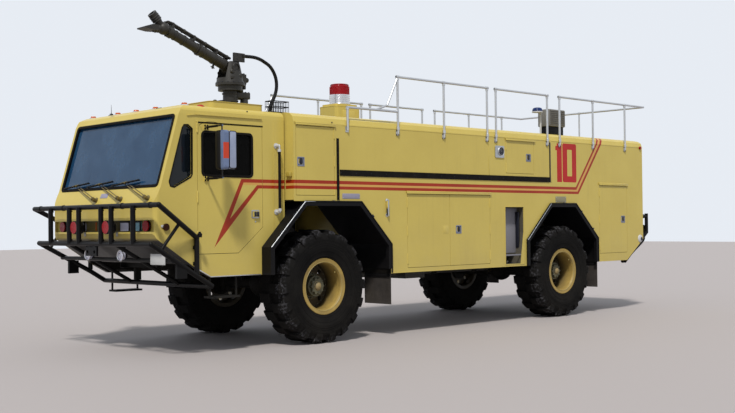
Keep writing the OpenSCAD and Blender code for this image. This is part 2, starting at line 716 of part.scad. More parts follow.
module mud_flaps() {
    color("black") at_origin() both_sides() {
        block([front_arch[1] - 22, front_arch[1] - 12], [track / 2 - 255, track / 2 + 265], [440, skirt_z - seat_gap]);
        block([rear_arch[1] - 22, rear_arch[1] - 12], [track / 2 - 255, track / 2 + 265], [440, skirt_z - seat_gap]);
    }
}

// Body

// Front view of the body's upper part
body_front = [[-side_y, 0], [side_y, 0], [side_y, roof_z - 122], [side_y - 22, roof_z - 56], [side_y - 70, roof_z - 20],
    [side_y - 160, roof_z], [-(side_y - 160), roof_z], [-(side_y - 70), roof_z - 20], [-(side_y - 22), roof_z - 56],
    [-side_y, roof_z - 122]];

// Doors of the lockers: [rear edge, front edge, lower edge, upper edge]
front_locker = [tank_front_x + 60, module_front_x - 40, 1933, 2830];
bay_x0 = rear_axle_x + 1111;
bay_x1 = rear_axle_x + 1566;
locker_front_x = front_arch[1] - 338;
locker_rear_x = bay_x1 + 370;
locker_mid_x = (locker_front_x + locker_rear_x) / 2 + 10;
mid_locker = [locker_mid_x, locker_front_x, 935, 1970];
aft_locker = [locker_rear_x, locker_mid_x, 935, 1970];
rear_locker = [rear_axle_x - 1844, rear_axle_x - 994, 1010, 2167];
tank_locker = [tank_rear_x + 416, tank_rear_x + 1116, 2320, 2830];

// Locker room with a doorway: the leaf fits in a rebate and rests on its stop
module locker_cut(d, depth, stop = 26) {
    across(side_y - door_t - seat_gap, side_y + 5) polygon(round_box(d[0] - door_gap / 2, d[2] - door_gap / 2,
        d[1] + door_gap / 2, d[3] + door_gap / 2, 12));
    across(side_y - depth, side_y) polygon(round_box(d[0] + stop, d[2] + stop, d[1] - stop, d[3] - stop, 12));
}

// Leaf of a locker door, with its latch near the free edge
module locker_leaf(d, latch_x, latch_z) {
    difference() {
        across(side_y - door_t, side_y) polygon(round_box(d[0] + door_gap / 2, d[2] + door_gap / 2,
            d[1] - door_gap / 2, d[3] - door_gap / 2, 10));
        across(side_y - 12, side_y + 1) polygon(round_box(latch_x - 55, latch_z - 55, latch_x + 55, latch_z + 55, 12));
    }
    across(side_y - 13, side_y - 4) polygon(round_box(latch_x - 34, latch_z - 34, latch_x + 34, latch_z + 34, 8));
}

module locker_module() {
    color("khaki") at_origin() difference() {
        along(tank_front_x, module_front_x) polygon([for (p = body_front) [p[0], max(p[1], arch_top_z)]]);
        both_sides() locker_cut(front_locker, locker_depth);
    }
}

module tank_body() {
    color("khaki") at_origin() {
        difference() {
            union() {
                along(tank_rear_x, tank_front_x) polygon([for (p = body_front) [p[0], max(p[1], belt_z)]]);
                // Tank between the lower side bodies, down to the frame
                block([tank_rear_x + 640, front_arch[1] - 20], [-(pontoon_y - seat_gap), pontoon_y - seat_gap], [frame_top_z, belt_z + 1]);
            }
            locker_cut(tank_locker, 420);
        }
        beacon_pod();
        // Fill hatches
        for (x = [tank_front_x - 1900, tank_rear_x + 1856]) translate([x, 0, roof_z - 1]) cylinder(h = 70, r = 260, $fn = 48);
    }
}

beacon_x = -1500;
beacon_z = 3335;
module beacon_pod() {
    translate([beacon_x, 0, roof_z - 1]) linear_extrude(beacon_z - roof_z - 29) polygon(round_box(-250, -200, 250, 200, 60));
    translate([beacon_x, 0, beacon_z - 31]) linear_extrude(31) polygon(round_box(-220, -170, 220, 170, 50));
}

bay_top_z = 1794;
bay_shelf_z = 1060;
bay_depth = 130;
module lower_body() {
    color("khaki") at_origin() both_sides() difference() {
        across(pontoon_y, side_y) polygon(concat(
            [[rear_arch[0], skirt_z], [rear_arch[0], arch_shoulder_z], [rear_arch[2], arch_top_z], [tank_rear_x, belt_z],
             [tank_front_x, belt_z], [tank_front_x, arch_top_z]],
            [for (p = arch_outline(front_arch)) if (p[0] < tank_front_x) [p[0], max(p[1], skirt_z)]]));
        locker_cut(mid_locker, locker_depth);
        locker_cut(aft_locker, locker_depth);
        // Open pump bay: a shallow recess, with a deep one below its shelf
        across(side_y - bay_depth, side_y + 5) polygon([[bay_x0 + 80, skirt_z + 40], [bay_x1, skirt_z + 40], [bay_x1, bay_top_z],
            [bay_x0, bay_top_z], [bay_x0, 1400]]);
        across(side_y - 420, side_y) polygon([[bay_x0 + 80, skirt_z + 40], [bay_x1, skirt_z + 40], [bay_x1, bay_shelf_z], [bay_x0 + 60, bay_shelf_z]]);
    }
}

grille_z = [1700, 2700];
grille_half = 620;
module engine_body() {
    color("khaki") at_origin() difference() {
        intersection() {
            along(tail_x, tank_rear_x) polygon(body_front);
            across(-side_y, side_y) polygon([[tank_rear_x, roof_z], [tail_x + 30, roof_z], [tail_x, roof_z - 40],
                [tail_x, chamfer_top_z], [tail_x + chamfer_l, skirt_z], [rear_arch[1], skirt_z], [tank_rear_x, skirt_z]]);
        }
        both_sides() across(arch_inner_y - 1, side_y + 5) polygon(arch_outline(rear_arch));
        // Engine room, open below
        block([tail_x + 60, tank_rear_x + 5], [-(pontoon_y - 1), pontoon_y - 1], [skirt_z - 5, belt_z - 120]);
        block([tail_x + 60, tank_rear_x - 60], [-(pontoon_y - 1), pontoon_y - 1], [belt_z - 121, 2760]);
        both_sides() locker_cut(rear_locker, locker_depth);
        // Louvred outlet in the rear wall
        for (z = [grille_z[0] : 100 : grille_z[1] - 60]) block([tail_x - 5, tail_x + 65], [-grille_half, grille_half], [z, z + 60]);
        // Opening below the rear wall, between the rails
        block([tail_x - 5, tail_x + 65], [-(pontoon_y - 1), pontoon_y - 1], [skirt_z - 5, 1300]);
    }
}

module rub_strips() {
    color("black") at_origin() both_sides() {
        block([tank_rear_x + 16, tank_front_x - 35], [side_y, side_y + 8], [2196, 2278]);
        block([tank_front_x - 20, tank_front_x + 20], [side_y, side_y + 8], [1878, 2690]);
        block([tank_rear_x - 4, tank_rear_x + 6], [side_y, side_y + 5], [2196, 2860]);
    }
}

outlet_r = 32;
outlet_z = 985;
outlet_x = bay_x1 - 165;
handle_x = front_arch[1] + 70;
module side_fittings() {
    color("silver") at_origin() both_sides() {
        // Hose outlet in the pump bay
        translate([outlet_x, side_y - 420, outlet_z]) turned_y() polygon([[0, 0], [60, 0], [60, 16], [46, 20], [46, 150], [64, 156], [64, 190],
            [outlet_r, 190], [outlet_r, 260], [0, 260]]);
        // Gauge plate by the tank door
        across(side_y, side_y + 14) polygon(round_box(tank_locker[1] + 62, 2552, tank_locker[1] + 277, 2735, 20));
        // Vertical handle behind the front wheel
        for (z = [1676, 1876]) rod([handle_x, side_y, z], [handle_x, side_y + 30, z], 10);
        rod([handle_x, side_y + 30, 1664], [handle_x, side_y + 30, 1888], 12);
    }
}

rear_guard_y = side_y - 60;
rear_bar_x = guard_rear_x + guard_r;
chamfer_l = 538;
chamfer_top_z = 1244;
module rear_guard() {
    a = atan2(chamfer_top_z - skirt_z, chamfer_l);
    off = guard_r + seat_gap;
    foot = [floor(tail_x + chamfer_l - off * sin(a)), floor(skirt_z - off * cos(a))];
    knee_z = floor(foot[1] + (foot[0] - rear_bar_x) * tan(a));
    color("black") at_origin() {
        for (z = [1450, 1640]) rod([rear_bar_x, -rear_guard_y, z], [rear_bar_x, rear_guard_y, z], guard_r);
        both_sides() {
            tube_path([[foot[0], rear_guard_y, foot[1]], [rear_bar_x, rear_guard_y, knee_z],
                [rear_bar_x, rear_guard_y, 1690]], guard_r);
            rod([tail_x, rear_guard_y, 1640], [rear_bar_x, rear_guard_y, 1640], guard_r * 0.7);
            rod([rear_bar_x, 430, 1450], [tail_x, 430, 1450], guard_r * 0.7);
        }
    }
}

// Hand rails

rail_y = side_y - 8;
bracket_z = 2805;
module rail_post(x, top) {
    rod([x, rail_y + 26, bracket_z], [x, rail_y + 26, top], rail_r);
    block([x - 28, x + 28], [side_y, rail_y + 14], [bracket_z - 24, bracket_z + 50]);
}
post_x = [-1330, -2290, rear_axle_x + 1996, rear_axle_x + 1786, rear_axle_x + 481,
    rear_axle_x + 146, rear_axle_x - 804, rear_axle_x - 1784];
module hand_rails() {
    color("silver") at_origin() {
        both_sides() {
            for (x = post_x) rail_post(x, rail_top_z);
            rail_post(-370, 3113);
            rod([-353, rail_y + 26, 3113], [-1330, rail_y + 26, 3113], rail_r);
            tube_path([[-900, rail_y + 26, 3113], [-1120, rail_y + 26, 3190], [-1240, rail_y + 26, 3420], [-1330, rail_y + 26, rail_top_z - 10]], rail_r * 0.9);
            for (run = [[0, post_x[2] - 17], [3, post_x[4] - 17], [5, tail_x - 30]])
                rod([post_x[run[0]] + 17, rail_y + 26, rail_top_z], [run[1], rail_y + 26, rail_top_z], rail_r);
            // Grab rail at the back of the cab
            tube_path([[720, cab_y, 1720], [720, cab_y + 70, 1720], [720, cab_y + 70, 2560], [720, cab_y, 2560]], 14);
        }
        rod([tail_x - 30, -rail_y - 40, rail_top_z], [tail_x - 30, rail_y + 40, rail_top_z], rail_r);
    }
}

// Beacon

module beacon_base() {
    color("silver") at_origin() translate([beacon_x, 0, beacon_z]) rotate_extrude($fn = 64)
        polygon([[0, 0], [beacon_r + 17, 0], [beacon_r + 17, 14], [beacon_r + 4, 22], [beacon_r + 4, 150], [0, 150]]);
}

module beacon_lens() {
    color("red") at_origin() translate([beacon_x, 0, beacon_z + 150]) rotate_extrude($fn = 64)
        polygon([[0, 0], [beacon_r, 0], [beacon_r - 6, 130], [beacon_r - 14, 150], [beacon_r - 34, 160], [0, 160]]);
}

// Monitor

slew_z = monitor_pivot_z - 240;
hose_foot = [-64, 100];
module monitor_base() {
    color("darkolivegreen") at_origin() {
        translate([monitor_x, 0, 0]) {
            block([-220, 220], [-190, 190], [roof_z, roof_z + 32]);
            translate([0, 0, roof_z + 31]) cylinder(h = slew_z - roof_z - 31 - 70, r = 100, $fn = 48);
            translate([0, 0, slew_z - 71]) cylinder(h = 71 - seat_gap, r = 165, $fn = 48);
            // Valve body in front and slewing motor behind
            block([70, 185], [-105, 105], [roof_z + 60, roof_z + 250]);
            block([-290, -80], [-70, 70], [roof_z + 70, roof_z + 230]);
        }
        // Gland of the hose on the roof
        translate([hose_foot[0], hose_foot[1], roof_z]) cylinder(h = 41, r = 36, $fn = 48);
    }
}

trunnion_r = 40;
turret_slot = 97;
module monitor_turret() {
    color("darkolivegreen") at_origin() translate([monitor_x, 0, 0]) {
        difference() {
            union() {
                translate([0, 0, slew_z]) cylinder(h = 34, r = 200, $fn = 48);
                translate([0, 0, slew_z + 33]) cylinder(h = 290, r1 = 190, r2 = 128, $fn = 48);
            }
            // Slot in which the barrel rises and falls
            block([-210, 210], [-turret_slot, turret_slot], [slew_z + 100, monitor_pivot_z + 200]);
            translate([0, -200, monitor_pivot_z]) rotate([-90, 0, 0]) cylinder(h = 400, r = trunnion_r + seat_gap, $fn = 48);
        }
        // Bracket of the hose on the left ear
        block([-150, 30], [104, 136], [slew_z + 322, monitor_pivot_z + 200]);
        // Gear case behind the ears
        block([-235, -140], [-60, 60], [slew_z + 33, slew_z + 170]);
    }
}

nozzle_r = 36;
nozzle_l = 250;
nozzle_rise = 24;
bill_drop = 27;
pipe_z = 115;
module monitor_barrel() {
    color("darkolivegreen") at_origin() translate([monitor_x, 0, monitor_pivot_z]) rotate([0, -barrel_tilt, 0]) {
        rotate([-90, 0, 0]) translate([0, 0, -142]) cylinder(h = 284, r = trunnion_r, $fn = 48);
        rotate([-90, 0, 0]) translate([0, 0, -92]) cylinder(h = 184, r = 88, $fn = 48);
        rotate([0, 90, 0]) {
            translate([0, 0, 40]) cylinder(h = 530, r = 73, $fn = 48);
            translate([0, 0, 540]) cylinder(h = 30, r = 84, $fn = 48);
            translate([0, 0, 560]) cylinder(h = barrel_l - 560, r = 64, $fn = 48);
            translate([0, 0, barrel_l - 130]) cylinder(h = 60, r = 76, $fn = 48);
        }
        translate([barrel_l, 0, 0]) sphere(r = 82, $fn = 48);
        // Straight nozzle on the upper prong
        translate([barrel_l, 0, 0]) rotate([0, 90 - nozzle_rise, 0]) difference() {
            union() {
                cylinder(h = nozzle_l - 20, r = 48, $fn = 48);
                translate([0, 0, nozzle_l - 120]) cylinder(h = 120, r = 62, $fn = 48);
            }
            translate([0, 0, nozzle_l - 120]) cylinder(h = 130, r = nozzle_r, $fn = 48);
        }
        // Flat spreader on the lower prong
        translate([barrel_l, 0, 0]) rotate([0, bill_drop, 0]) {
            rotate([0, 90, 0]) cylinder(h = 160, r = 50, $fn = 48);
            across(-98, 98) polygon([[130, 34], [210, 44], [335, 12], [335, -4], [210, -30], [130, -34]]);
        }
        // Twin pipes on top of the barrel
        for (y = [-26, 26]) rod([60, y, pipe_z], [barrel_l - 60, y, pipe_z], 17);
        for (x = [300, 690, barrel_l - 100]) block([x - 14, x + 14], [-50, 50], [50, pipe_z + 8]);
        // Drain cock under the barrel
        translate([265, 0, -118]) cylinder(h = 60, r = 15, $fn = 32);
        block([235, 295], [-8, 8], [-122, -112]);
    }
}

// Hose from the turret's clamp to its gland on the roof

hose_r = 24;
hose_route = [[379.7, 120, 3868], [330, 120, 3868], [270, 119, 3870], [190, 118, 3868], [100, 116, 3852], [10, 114, 3818], [-80, 112, 3770],
    [-150, 110, 3690], [-190, 108, 3600], [-200, 106, 3500], [-184, 104, 3410], [-150, 102, 3330], [-110, 100, 3250],
    [-80, 100, 3170], [-64, 100, 3100], [-64, 100, 3041.3]];
hose_sides = 8;

function unit(v) = v / norm(v);
function route_dir(p, i) = unit(p[min(i + 1, len(p) - 1)] - p[max(i - 1, 0)]);
function route_ring(p, i, r) =
    let (t = route_dir(p, i), a = unit(cross(t, [0, 1, 0])), b = cross(t, a))
    [for (k = [0 : hose_sides - 1]) p[i] + r * (cos(360 * k / hose_sides) * a + sin(360 * k / hose_sides) * b)];

module swept_tube(p, r) {
    n = len(p);
    s = hose_sides;
    polyhedron(
        points = [for (i = [0 : n - 1]) each route_ring(p, i, r)],
        faces = concat([[for (k = [0 : s - 1]) s - 1 - k]],
            [for (i = [0 : n - 2]) for (k = [0 : s - 1])
                [i * s + k, i * s + (k + 1) % s, (i + 1) * s + (k + 1) % s, (i + 1) * s + k]],
            [[for (k = [0 : s - 1]) (n - 1) * s + k]]));
}

module monitor_hose() {
    color("black") at_origin() swept_tube(hose_route, hose_r);
}

// Locker doors

module locker_door_front() { locker_leaf(front_locker, front_locker[1] - 80, 2364); }
module locker_door_mid() { locker_leaf(mid_locker, mid_locker[0] + 90, 1461); }
module locker_door_aft() { locker_leaf(aft_locker, aft_locker[1] - 190, 1461); }
module locker_door_rear() { locker_leaf(rear_locker, rear_locker[0] + 130, 1590); }

module locker_door_front_left() { color("khaki") at_origin() locker_door_front(); }
module locker_door_front_right() { color("khaki") at_origin() mirror([0, 1, 0]) locker_door_front(); }
module locker_door_mid_left() { color("khaki") at_origin() locker_door_mid(); }
module locker_door_mid_right() { color("khaki") at_origin() mirror([0, 1, 0]) locker_door_mid(); }
module locker_door_aft_left() { color("khaki") at_origin() locker_door_aft(); }
module locker_door_aft_right() { color("khaki") at_origin() mirror([0, 1, 0]) locker_door_aft(); }
module locker_door_rear_left() { color("khaki") at_origin() locker_door_rear(); }
module locker_door_rear_right() { color("khaki") at_origin() mirror([0, 1, 0]) locker_door_rear(); }
module tank_door() { color("khaki") at_origin() locker_leaf(tank_locker, tank_locker[0] + 140, (tank_locker[2] + tank_locker[3]) / 2); }

chassis_frame();
engine();
driveline();
front_axle();
rear_axle();
cab_shell();
dashboard();
seats();
cab_glass();
front_guard();
clear_lenses();
red_lenses();
amber_lenses();
wipers();
wheel_arches();
mud_flaps();
locker_module();
tank_body();
lower_body();
engine_body();
rub_strips();
side_fittings();
rear_guard();
hand_rails();
beacon_base();
beacon_lens();
monitor_base();
monitor_turret();
monitor_barrel();
monitor_hose();
knuckle_left();
knuckle_right();
wheel_front_left();
wheel_front_right();
wheel_rear_left();
wheel_rear_right();
tyre_front_left();
tyre_front_right();
tyre_rear_left();
tyre_rear_right();
cab_door_left();
cab_door_right();
door_glass_left();
door_glass_right();
mirror_left();
mirror_right();
locker_door_front_left();
locker_door_front_right();
locker_door_mid_left();
locker_door_mid_right();
locker_door_aft_left();
locker_door_aft_right();
locker_door_rear_left();
locker_door_rear_right();
tank_door();
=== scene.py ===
"""Airport fire truck: finishes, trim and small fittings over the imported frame, seen from its front left."""
import math

import bmesh
import bpy
from mathutils import Matrix, Vector


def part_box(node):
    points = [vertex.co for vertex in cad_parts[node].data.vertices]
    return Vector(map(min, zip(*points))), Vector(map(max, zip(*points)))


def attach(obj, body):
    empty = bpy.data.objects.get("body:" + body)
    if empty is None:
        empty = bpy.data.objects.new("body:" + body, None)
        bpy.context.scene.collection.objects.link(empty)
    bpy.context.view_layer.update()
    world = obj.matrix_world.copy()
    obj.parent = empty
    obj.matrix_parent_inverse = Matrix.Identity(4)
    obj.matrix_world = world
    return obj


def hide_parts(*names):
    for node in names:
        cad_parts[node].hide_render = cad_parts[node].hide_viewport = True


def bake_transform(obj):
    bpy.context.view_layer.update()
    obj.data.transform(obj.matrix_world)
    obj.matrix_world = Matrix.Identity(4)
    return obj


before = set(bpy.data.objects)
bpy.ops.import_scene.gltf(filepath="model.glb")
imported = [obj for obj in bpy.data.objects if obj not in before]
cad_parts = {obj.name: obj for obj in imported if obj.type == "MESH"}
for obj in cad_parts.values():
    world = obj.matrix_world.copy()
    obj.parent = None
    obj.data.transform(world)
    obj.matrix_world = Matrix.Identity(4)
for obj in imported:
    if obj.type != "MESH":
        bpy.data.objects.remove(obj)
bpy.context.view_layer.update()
scene = bpy.context.scene


# Driving places, read from the frame

def middle(node):
    low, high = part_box(node)
    return (low + high) / 2


axle_x = middle("tyre_front_left").x
rear_axle_x = middle("tyre_rear_left").x
axle_z = middle("tyre_front_left").z
side_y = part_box("tank_body")[1].y
cab_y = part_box("cab_door_left")[0].y + 0.042
roof_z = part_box("locker_module")[1].z


# Camera at the photograph's place

photo_width = 735
camera_focal_px = 1081.24
camera_place = Vector((12.0275, 11.871, 1.558))
camera_yaw = 0.801
camera_pitch = 0.016
camera_roll = -0.011


def make_camera():
    data = bpy.data.cameras.new("photo_camera")
    data.sensor_width = 36.0
    data.lens = data.sensor_width * camera_focal_px / photo_width
    data.clip_end = 200.0
    ahead = Vector((-math.cos(camera_yaw) * math.cos(camera_pitch), -math.sin(camera_yaw) * math.cos(camera_pitch),
                    math.sin(camera_pitch)))
    right = ahead.cross(Vector((0, 0, 1))).normalized()
    up = right.cross(ahead)
    turned_right = math.cos(camera_roll) * right + math.sin(camera_roll) * up
    turned_up = math.cos(camera_roll) * up - math.sin(camera_roll) * right
    turn = Matrix((turned_right, turned_up, -ahead)).transposed().to_4x4()
    camera = bpy.data.objects.new("photo_camera", data)
    camera.matrix_world = Matrix.Translation(camera_place) @ turn
    scene.collection.objects.link(camera)
    scene.camera = camera


make_camera()


# Node helpers

class Value:
    """A node's output; sums and comparisons of values add the nodes that work them out, and a mask is 0 or 1."""

    def __init__(self, tree, socket):
        self.tree, self.socket = tree, socket

    def maths(self, operation, *others):
        return add_node(self.tree, "ShaderNodeMath", dict(enumerate((self, *others))), operation=operation)[0]

    def __add__(self, other):
        return self.maths("ADD", other)

    def __sub__(self, other):
        return self.maths("SUBTRACT", other)

    def __rsub__(self, number):
        return self.maths("MULTIPLY_ADD", -1.0, number)

    def __mul__(self, other):
        return self.maths("MULTIPLY", other)

    def __truediv__(self, other):
        return self.maths("DIVIDE", other)

    def __lt__(self, other):
        return self.maths("LESS_THAN", other)

    def __gt__(self, other):
        return self.maths("GREATER_THAN", other)

    def __and__(self, mask):
        return self.maths("MULTIPLY", mask)

    def __or__(self, mask):
        return self.maths("MAXIMUM", mask)

    def __abs__(self):
        return self.maths("ABSOLUTE")

    def between(self, low, high):
        return (self > low) & (self < high)

    def held(self):
        """The value held between 0 and 1."""
        self.socket.node.use_clamp = True
        return self


def feed(node, inputs):
    """Gives a node's inputs, by name or number, a value or a plain number."""
    for name, value in inputs.items():
        if isinstance(value, Value):
            value.tree.links.new(value.socket, node.inputs[name])
        else:
            node.inputs[name].default_value = value


def add_node(tree, kind, inputs=None, **settings):
    """Adds a node and gives its outputs."""
    made = tree.nodes.new(kind)
    for name, value in settings.items():
        setattr(made, name, value)
    feed(made, inputs or {})
    return [Value(tree, socket) for socket in made.outputs]


def ramp(value, low, high):
    """Straight ramp from 0 at low to 1 at high, held at the ends."""
    return add_node(value.tree, "ShaderNodeMapRange", {0: value, 1: low, 2: high, 3: 0.0, 4: 1.0})[0]


def noise(place, scale, detail, rough):
    inputs = {"Vector": place, "Scale": scale, "Detail": detail, "Roughness": rough}
    return add_node(place.tree, "ShaderNodeTexNoise", inputs)[0]


def stretch(place, x, y, z):
    return add_node(place.tree, "ShaderNodeMapping", {"Vector": place, "Scale": (x, y, z)})[0]


def split(place):
    return add_node(place.tree, "ShaderNodeSeparateXYZ", {0: place})


def mix(mask, colour, other):
    """The colour, and the other one where the mask is 1; plain colours are red, green and blue."""
    pair = [given if isinstance(given, Value) else (*given, 1.0) for given in (colour, other)]
    return add_node(mask.tree, "ShaderNodeMix", {0: mask, 6: pair[0], 7: pair[1]}, data_type="RGBA")[2]


# Shared effects, each worked out from the object coordinates and its numbers

def shared_effect(name, inputs, outputs, work_out):
    group = bpy.data.node_groups.new(name, "ShaderNodeTree")
    group.interface.new_socket(name="Vector", in_out="INPUT", socket_type="NodeSocketVector")
    for label, number in inputs.items():
        group.interface.new_socket(name=label, in_out="INPUT", socket_type="NodeSocketFloat").default_value = number
    for label in outputs:
        group.interface.new_socket(name=label, in_out="OUTPUT", socket_type="NodeSocketFloat")
    given = add_node(group, "NodeGroupInput")[:1 + len(inputs)]
    feed(group.nodes.new("NodeGroupOutput"), dict(zip(outputs, work_out(*given))))
    return group


def cloudy_tone(place, scale, speck):
    """Uneven tone: broad cloudy patches with fine specks."""
    broad = ramp(noise(place, scale, 5.0, 0.6), 0.3, 0.7)
    fine = ramp(noise(place, scale * 22.0, 3.0, 0.7), 0.45, 0.75)
    return [(broad + fine * speck).held()]


def dust_by_height(place, top, amount):
    """Road dust that thins out with height, broken by noise."""
    low = (1.0 - split(place)[2] / top).held()
    cloud = ramp(noise(place, 2.3, 6.0, 0.65), 0.25, 0.8)
    grit = ramp(noise(place, 60.0, 3.0, 0.7), 0.3, 0.7)
    return [(low * (cloud * (grit * 0.5 + 0.6)) * amount).held()]


def rain_streaks(place, amount):
    """Streaks down upright panels."""
    lines = ramp(noise(stretch(place, 14.0, 14.0, 0.7), 1.0, 4.0, 0.6), 0.52, 0.78)
    patches = ramp(noise(place, 1.1, 2.0, 0.5), 0.35, 0.7)
    return [lines * patches * amount]


def skin_height(place, wave, grain, grain_scale):
    """Broad panel waviness and a fine grain."""
    return [noise(place, 2.2, 2.0, 0.5) * wave + noise(place, grain_scale, 2.0, 0.6) * grain]


# The two side stripes and the number, in metres ahead of the front axle and above the ground
stripe_upper = (2.086, 2.130)
stripe_lower = (2.015, 2.056)
spear_tip = (1.690, 1.290)
spear_notch = (1.450, 1.639)
spear_corners = (1.273, 1.238, 1.028, 1.005)
rise_start = (-5.580, 2.134)
rise_slope = 0.796
rise_edges = (0.0, -0.049, -0.108, -0.165)
digit_one = ((-5.192, -5.058), (2.207, 2.840))
digit_flag = ((-5.070, -5.018), (2.725, 2.795))
digit_zero = ((-5.598, -5.212), (2.207, 2.845))
digit_hole = ((-5.475, -5.343), (2.307, 2.746))


def in_box(x, z, x_range, z_range, corner=0.004):
    """1 inside an upright rectangle with round corners, else 0."""
    off, rise = [(abs(value - (low + high) / 2) - ((high - low) / 2 - corner)) | 0.0
                 for value, (low, high) in ((x, x_range), (z, z_range))]
    return (off * off + rise * rise).maths("SQRT") < corner


def beyond_line(x, z, a, b):
    """1 where x is less than the x of the line through a and b at the same height."""
    slope = (b[0] - a[0]) / (b[1] - a[1])
    return x < z * slope + (a[0] - slope * a[1])


def side_livery(place):
    """Masks of the red side stripes, of the paler band between them and of the fleet number."""
    ahead, left, z = split(place)
    x = ahead - axle_x
    on_flank = abs(left) > cab_y - 0.003
    below_roof = z < roof_z - 0.018
    tops = (stripe_upper[1], stripe_upper[0], stripe_lower[1], stripe_lower[0])
    ends = (spear_tip, spear_notch, spear_notch, spear_tip)
    inside = [beyond_line(x, z, (corner, top), low) for corner, top, low in zip(spear_corners, tops, ends)]
    fork = (1.0 - inside[1]) | (inside[2] & (z < stripe_lower[1]))
    spear = inside[0] & (1.0 - inside[3]) & z.between(spear_tip[1], stripe_upper[1]) & fork
    risen = x + (z - rise_start[1]) * rise_slope
    edges = [rise_start[0] + edge for edge in rise_edges]
    upper = z.between(*stripe_upper) & inside[0] & (risen > edges[1])
    lower = z.between(*stripe_lower) & inside[2] & (risen > edges[3])
    first_rise = risen.between(edges[1], edges[0]) & (z > stripe_upper[0])
    second_rise = risen.between(edges[3], edges[2]) & (z > stripe_lower[0])
    stripes = spear | upper | lower | first_rise | second_rise
    level = z.between(stripe_lower[1], stripe_upper[0]) & inside[1] & (risen > edges[2])
    climb = risen.between(edges[2], edges[1]) & (z > stripe_lower[1])
    # The number reads the right way on both sides
    centre = (digit_flag[0][1] + digit_zero[0][0]) / 2
    read_x = (x - centre) * left.maths("SIGN") + centre
    one = in_box(read_x, z, *digit_one) | in_box(read_x, z, *digit_flag)
    zero = in_box(read_x, z, *digit_zero, corner=0.035) & (1.0 - in_box(read_x, z, *digit_hole, corner=0.012))
    return [stripes & on_flank & below_roof, (level | climb) & on_flank & below_roof, (one | zero) & on_flank]


def shaded_insides(place):
    """Masks of painted shade: in the lamp band's recess, on the faces in the arches and under the nose, and inside the
    bay.
    """
    ahead, left, z = split(place)
    x, wide = ahead - axle_x, abs(left)
    # Painted shade in the lamp band's recess, deepest towards the middle.
    recess = x.between(2.460, 2.502) & z.between(1.488, 1.632) & (wide < 1.171)
    dim = ramp(wide, 0.35, 1.05) * -0.8 + 1.0
    # Painted shade, near black, in the arch wells, under the nose and low between the sides.
    within = wide < 1.197
    nose = (x > 0.96) & within & ramp(z, 1.42, 1.38)
    arches = x.between(-1.196, 0.978) | x.between(-6.20, -4.208)
    behind_cab = (x < 0.57) & (wide < 1.358)
    inside_flare = x.between(0.56, 0.945) & (wide < 1.358) & (x * 1.0175 + z < 2.235)
    wells = arches & (within | behind_cab | inside_flare) & (z < 1.875)
    low = within & (z < 0.93)
    # Painted shade inside the open bay.
    bay = x.between(-4.168, -3.690) & z.between(0.90, 1.80) & wide.between(0.90, 1.352)
    return [recess * dim, nose | wells | low, bay * 0.92]


mottle = shared_effect("mottle", {"Scale": 3.0, "Speck": 0.3}, ["Value"], cloudy_tone)
low_dust = shared_effect("low_dust", {"Top": 1.4, "Amount": 0.6}, ["Mask"], dust_by_height)
streaks = shared_effect("streaks", {"Amount": 0.3}, ["Mask"], rain_streaks)
wear_bump = shared_effect("wear_bump", {"Wave": 0.3, "Grain": 0.1, "Grain Scale": 220.0}, ["Height"], skin_height)
livery = shared_effect("livery", {}, ["Stripe", "Between", "Number"], side_livery)
inner_shades = shared_effect("inner_shades", {}, ["Recess", "Painted Shade", "Bay"], shaded_insides)


# Finishes

dust_colour = (0.30, 0.26, 0.20)


def spaced(labels):
    return {label.replace("_", " "): value for label, value in labels.items()}


class Finish:
    """Material with a Principled shader and a cloudy tone, worked out from the object coordinates."""

    def __init__(self, name, tone_scale, speck, **sockets):
        self.material = bpy.data.materials.new(name)
        self.material.use_nodes = True
        self.tree = self.material.node_tree
        coordinates = self.tree.nodes.new("ShaderNodeTexCoord")
        self.place = Value(self.tree, coordinates.outputs["Object"])
        self.tone = self.use(mottle, Scale=tone_scale, Speck=speck)[0]
        self.set(**sockets)

    def set(self, **sockets):
        feed(self.tree.nodes["Principled BSDF"], spaced(sockets))
        return self.material

    def use(self, group, **inputs):
        """Outputs of a shared effect."""
        inputs = {"Vector": self.place, **spaced(inputs)}
        return add_node(self.tree, "ShaderNodeGroup", inputs, node_tree=group)

    def dust(self, top, amount):
        return self.use(low_dust, Top=top, Amount=amount)[0]

    def bump(self, strength, distance, height=None, **skin):
        if height is None:
            height = self.use(wear_bump, **skin)[0]
        inputs = {"Strength": strength, "Distance": distance, "Height": height}
        self.set(Normal=add_node(self.tree, "ShaderNodeBump", inputs)[0])


def coated_finish(name, colour, dark, roughness=0.35, dust=0.5, dust_top=1.6, streak=0.25, wave=0.4, grain=0.08,
                  coat=0.3, sheen=0.5):
    """Paint or plating with uneven tone, streaks, road dust low down and a faint waviness."""
    paint = Finish(name, 2.2, 0.25, Coat_Weight=coat, Coat_Roughness=0.12, Specular_IOR_Level=sheen)
    dirt = paint.dust(dust_top, dust)
    base = mix(paint.tone * 0.5, colour, dark)
    base = mix(paint.use(streaks, Amount=streak)[0], base, dark)
    paint.bump(0.25, 0.006, Wave=wave, Grain=grain)
    return paint.set(Base_Color=mix(dirt, base, dust_colour),
                     Roughness=(dirt * 0.45 + (paint.tone * 0.12 + roughness)).held())


